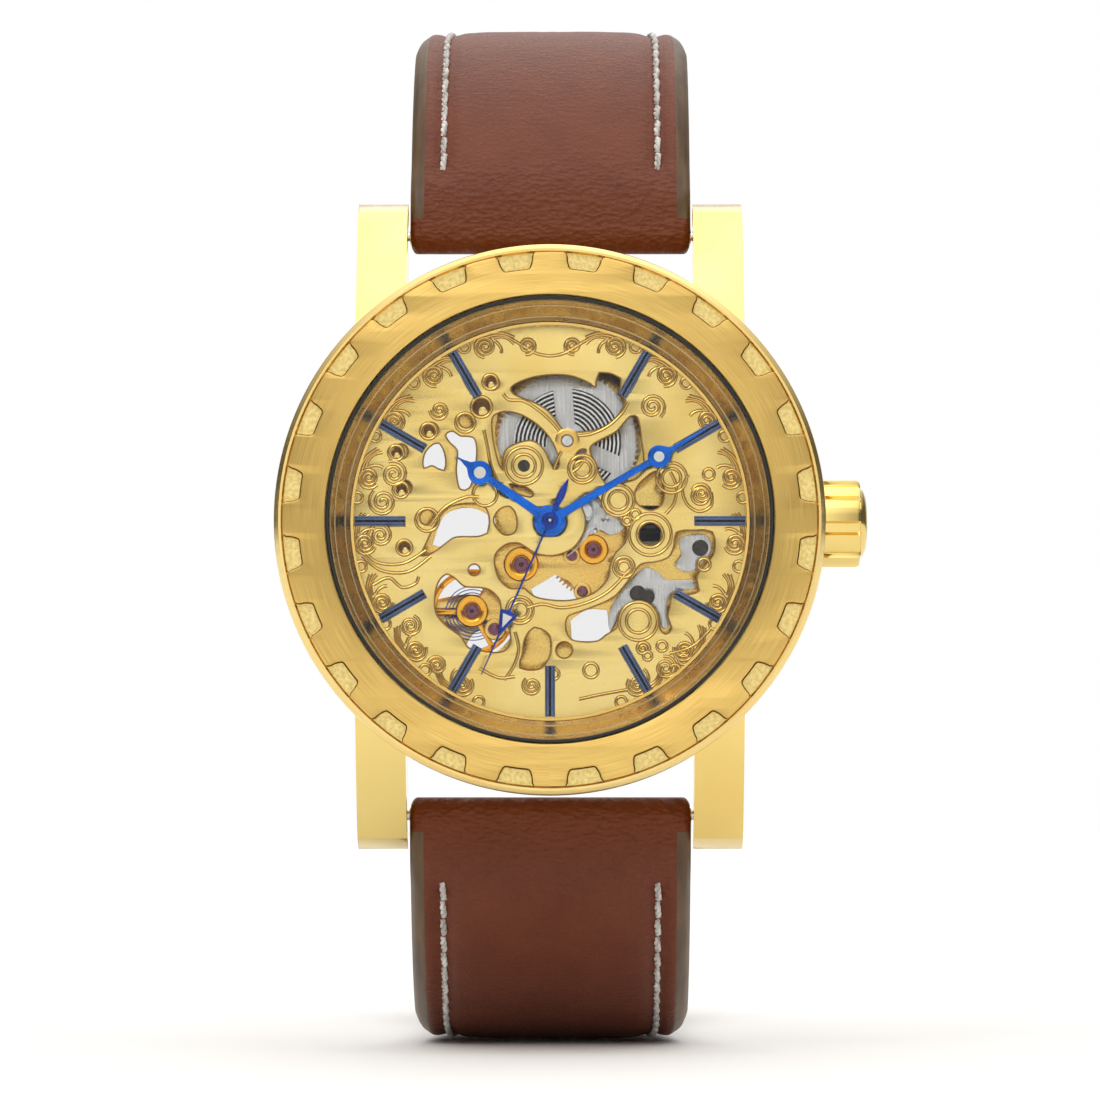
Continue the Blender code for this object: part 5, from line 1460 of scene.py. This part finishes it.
def make_keeper(node, body, s):
    """A leather loop round the strap with a stitch line along each edge."""
    half_w = strap_half_width(s) + 0.5
    thick = strap_half_thickness(s)
    low, high, wall, half = -thick - 0.5, thick + 2.7, 0.9, 2.3
    inner = rectangle(-half_w, half_w, low, high)
    outer = rectangle(-half_w - wall, half_w + wall, low - wall, high + wall)
    verts, faces = slab([rounded(outer, 1.5, 6), rounded(inner, 0.7, 5)], -half, half, 0.22)
    shape = ([(x, across, out) for x, out, across in verts], faces)
    solid(node + "_loop", laid(shape, "strap_upper", s), "leather", body, node, crease=50)
    pitch, paths = 1.7, []
    count = int((half_w - 0.8) * 2 / pitch)
    for i in range(count):
        start = -half_w + 0.8 + pitch * i
        for along in (-1.6, 1.6):
            for out, rise in ((high + wall, 0.12), (low - wall, -0.12)):
                path = [(start, along, out - rise), (start + 0.25, along + 0.03, out + rise),
                        (start + 1.1, along - 0.03, out + rise), (start + 1.35, along, out - rise)]
                paths.append(path)
    verts, faces = tubes(paths, 0.16)
    solid(node + "_stitches", laid((verts, faces), "strap_upper", s), "thread", body, crease=80)


def make_buckle():
    end = STRAPS["strap_upper"]["length"]
    inner, arm, rear, front = strap_half_width(end) + 0.35, 2.0, -1.3, 11.0
    outer = inner + arm
    frame_line = [(-outer, rear), (-inner, rear), (-inner, front - 2.4), (inner, front - 2.4),
                  (inner, rear), (outer, rear), (outer, front), (-outer, front)]
    bar = laid(slab([rounded(frame_line, 1.0, 5)], -1.2, 1.2, 0.5), "strap_upper", end)
    solid("buckle_frame_cast", bar, "crown_polish", "buckle_frame", "buckle_frame")
    eye, over, half = 1.35, 1.3, 1.05
    side = arc((0, 0), eye, 75, 320, 18)
    side += [(front - 3.1, over), (front - 0.4, over), (front + 0.3, over + 0.1),
             (front + 0.5, over + 0.35), (front + 0.4, over + 0.75), (front, over + 0.9),
             (front - 2.6, over + 0.9)]
    verts, faces = slab([side, circle((0, 0), 0.82, 24)], -half, half, 0.25)
    tongue = laid(([(across, along, out) for along, out, across in verts], faces),
                  "strap_upper", end)
    solid("buckle_tongue_bar", tongue, "crown_polish", "buckle_tongue", "buckle_tongue", crease=40)
    bars = (("spring_bar_upper", "case", LUG_GAP / 2 - 0.15, LUG_GAP / 2 + 0.9),
            ("spring_bar_lower", "case", LUG_GAP / 2 - 0.15, LUG_GAP / 2 + 0.9),
            ("buckle_spring_bar", "strap_upper", inner - 0.1, outer - 0.3))
    for node, body, half, pivot in bars:
        r = (span(node)[1].z - span(node)[0].z) / 2
        profile = [(0, -pivot), (r * 0.45, -pivot), (r * 0.55, -pivot + 0.1), (r * 0.55, -half),
                   (r, -half + 0.05), (r, -half + 0.9), (r * 0.85, -half + 1.0),
                   (r * 0.85, -half + 1.3), (r, -half + 1.4)]
        profile += [(radius, -height) for radius, height in reversed(profile)]
        at = middle(node)
        solid(node + "_turned", lathe(profile, 40, (0, at.y, at.z), "x"), "bright_steel", body,
              node)


# ---------------------------------------------------------------- studio
WHITE = (1, 1, 1, 1)
WARM_WHITE = (1.0, 0.985, 0.96)


def make_world():
    """Plain white behind the object; its gloss sees a studio that is bright in an upright
    band, a little right of the middle, and overhead."""
    world = bpy.data.worlds.new("studio")
    world.use_nodes = True
    bpy.context.scene.world = world
    tree = world.node_tree
    out = tree.nodes["World Output"]
    band = tree.nodes["Background"]

    def node(kind, inputs=None, **settings):
        return add(world, kind, inputs, **settings)

    where = node("ShaderNodeTexCoord").outputs["Generated"]
    split = node("ShaderNodeSeparateXYZ", {0: where})
    shifted = node("ShaderNodeMath", {0: split.outputs["X"], 1: 0.04}, operation="SUBTRACT")
    across = node("ShaderNodeMath", {0: shifted.outputs[0]}, operation="ABSOLUTE").outputs[0]
    upright = ramp(world, across, 0.08, 0.65, 1.15, 0.12)
    overhead = ramp(world, split.outputs["Z"], 0.35, 0.8, 0.0, 1.0)
    level = node("ShaderNodeMath", {0: upright, 1: overhead}, operation="ADD").outputs[0]
    tree.links.new(level, band.inputs["Strength"])
    band.inputs["Color"].default_value = (*WARM_WHITE, 1)
    plain = node("ShaderNodeBackground", {"Color": WHITE, "Strength": 1.0})
    seen = node("ShaderNodeLightPath").outputs["Is Camera Ray"]
    mixed = node("ShaderNodeMixShader", {0: seen, 1: band.outputs[0], 2: plain.outputs[0]})
    tree.links.new(mixed.outputs[0], out.inputs["Surface"])


def softbox(name, place, size, power):
    """A square light that faces the middle of the watch."""
    data = bpy.data.lights.new(name, "AREA")
    data.shape = "SQUARE"
    data.size = size
    data.energy = power
    data.color = WARM_WHITE
    light = bpy.data.objects.new(name, data)
    bpy.context.scene.collection.objects.link(light)
    light.location = place
    light.rotation_euler = (-Vector(place)).to_track_quat("-Z", "Y").to_euler()


def make_floor():
    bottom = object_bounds()[0][2]
    mesh = bpy.data.meshes.new("floor")
    built = bmesh.new()
    bmesh.ops.create_grid(built, x_segments=1, y_segments=1, size=6.0)
    built.to_mesh(mesh)
    built.free()
    floor = bpy.data.objects.new("floor", mesh)
    floor.location = (0, 0, bottom - 0.0002)
    made = shader_of("floor_white", (0.86, 0.86, 0.86, 1), 0.8)
    roughen(made, grain(made, 40, 2), 0.3, 0.7, 0.7, 0.9)
    mesh.materials.append(made)
    bpy.context.scene.collection.objects.link(floor)


def make_camera():
    """A long lens just below the watch's axis."""
    distance, elevation, azimuth = 0.5, math.radians(-2.5), math.radians(0.3)
    target = Vector((0.0, -0.00885, -0.0024))
    data = bpy.data.cameras.new("camera")
    data.sensor_width = 36
    data.lens = 197.0
    camera = bpy.data.objects.new("camera", data)
    bpy.context.scene.collection.objects.link(camera)
    away = Vector((math.sin(azimuth) * math.cos(elevation),
                   -math.cos(azimuth) * math.cos(elevation), math.sin(elevation)))
    camera.location = target + away * distance
    camera.rotation_euler = (-away).to_track_quat("-Z", "Y").to_euler()
    bpy.context.scene.camera = camera


def light_studio():
    make_world()
    softbox("key", (-0.3, -0.55, 0.5), 0.25, 0.7)
    bpy.context.scene.view_settings.view_transform = "Standard"


make_case()
make_bezel()
make_crystal()
make_case_back()
make_crown()
make_dial()
make_engraving()
make_jewels()
make_screws()
make_train()
make_barrel()
make_escapement()
make_plates()
make_winding()
make_markers()
make_hands()
for strap_name in STRAPS:
    make_strap(strap_name)
    make_stitches(strap_name)
hole_rims()
for keeper, keeper_body, keeper_s in KEEPERS:
    make_keeper(keeper, keeper_body, keeper_s)
make_buckle()
make_floor()
make_camera()
light_studio()
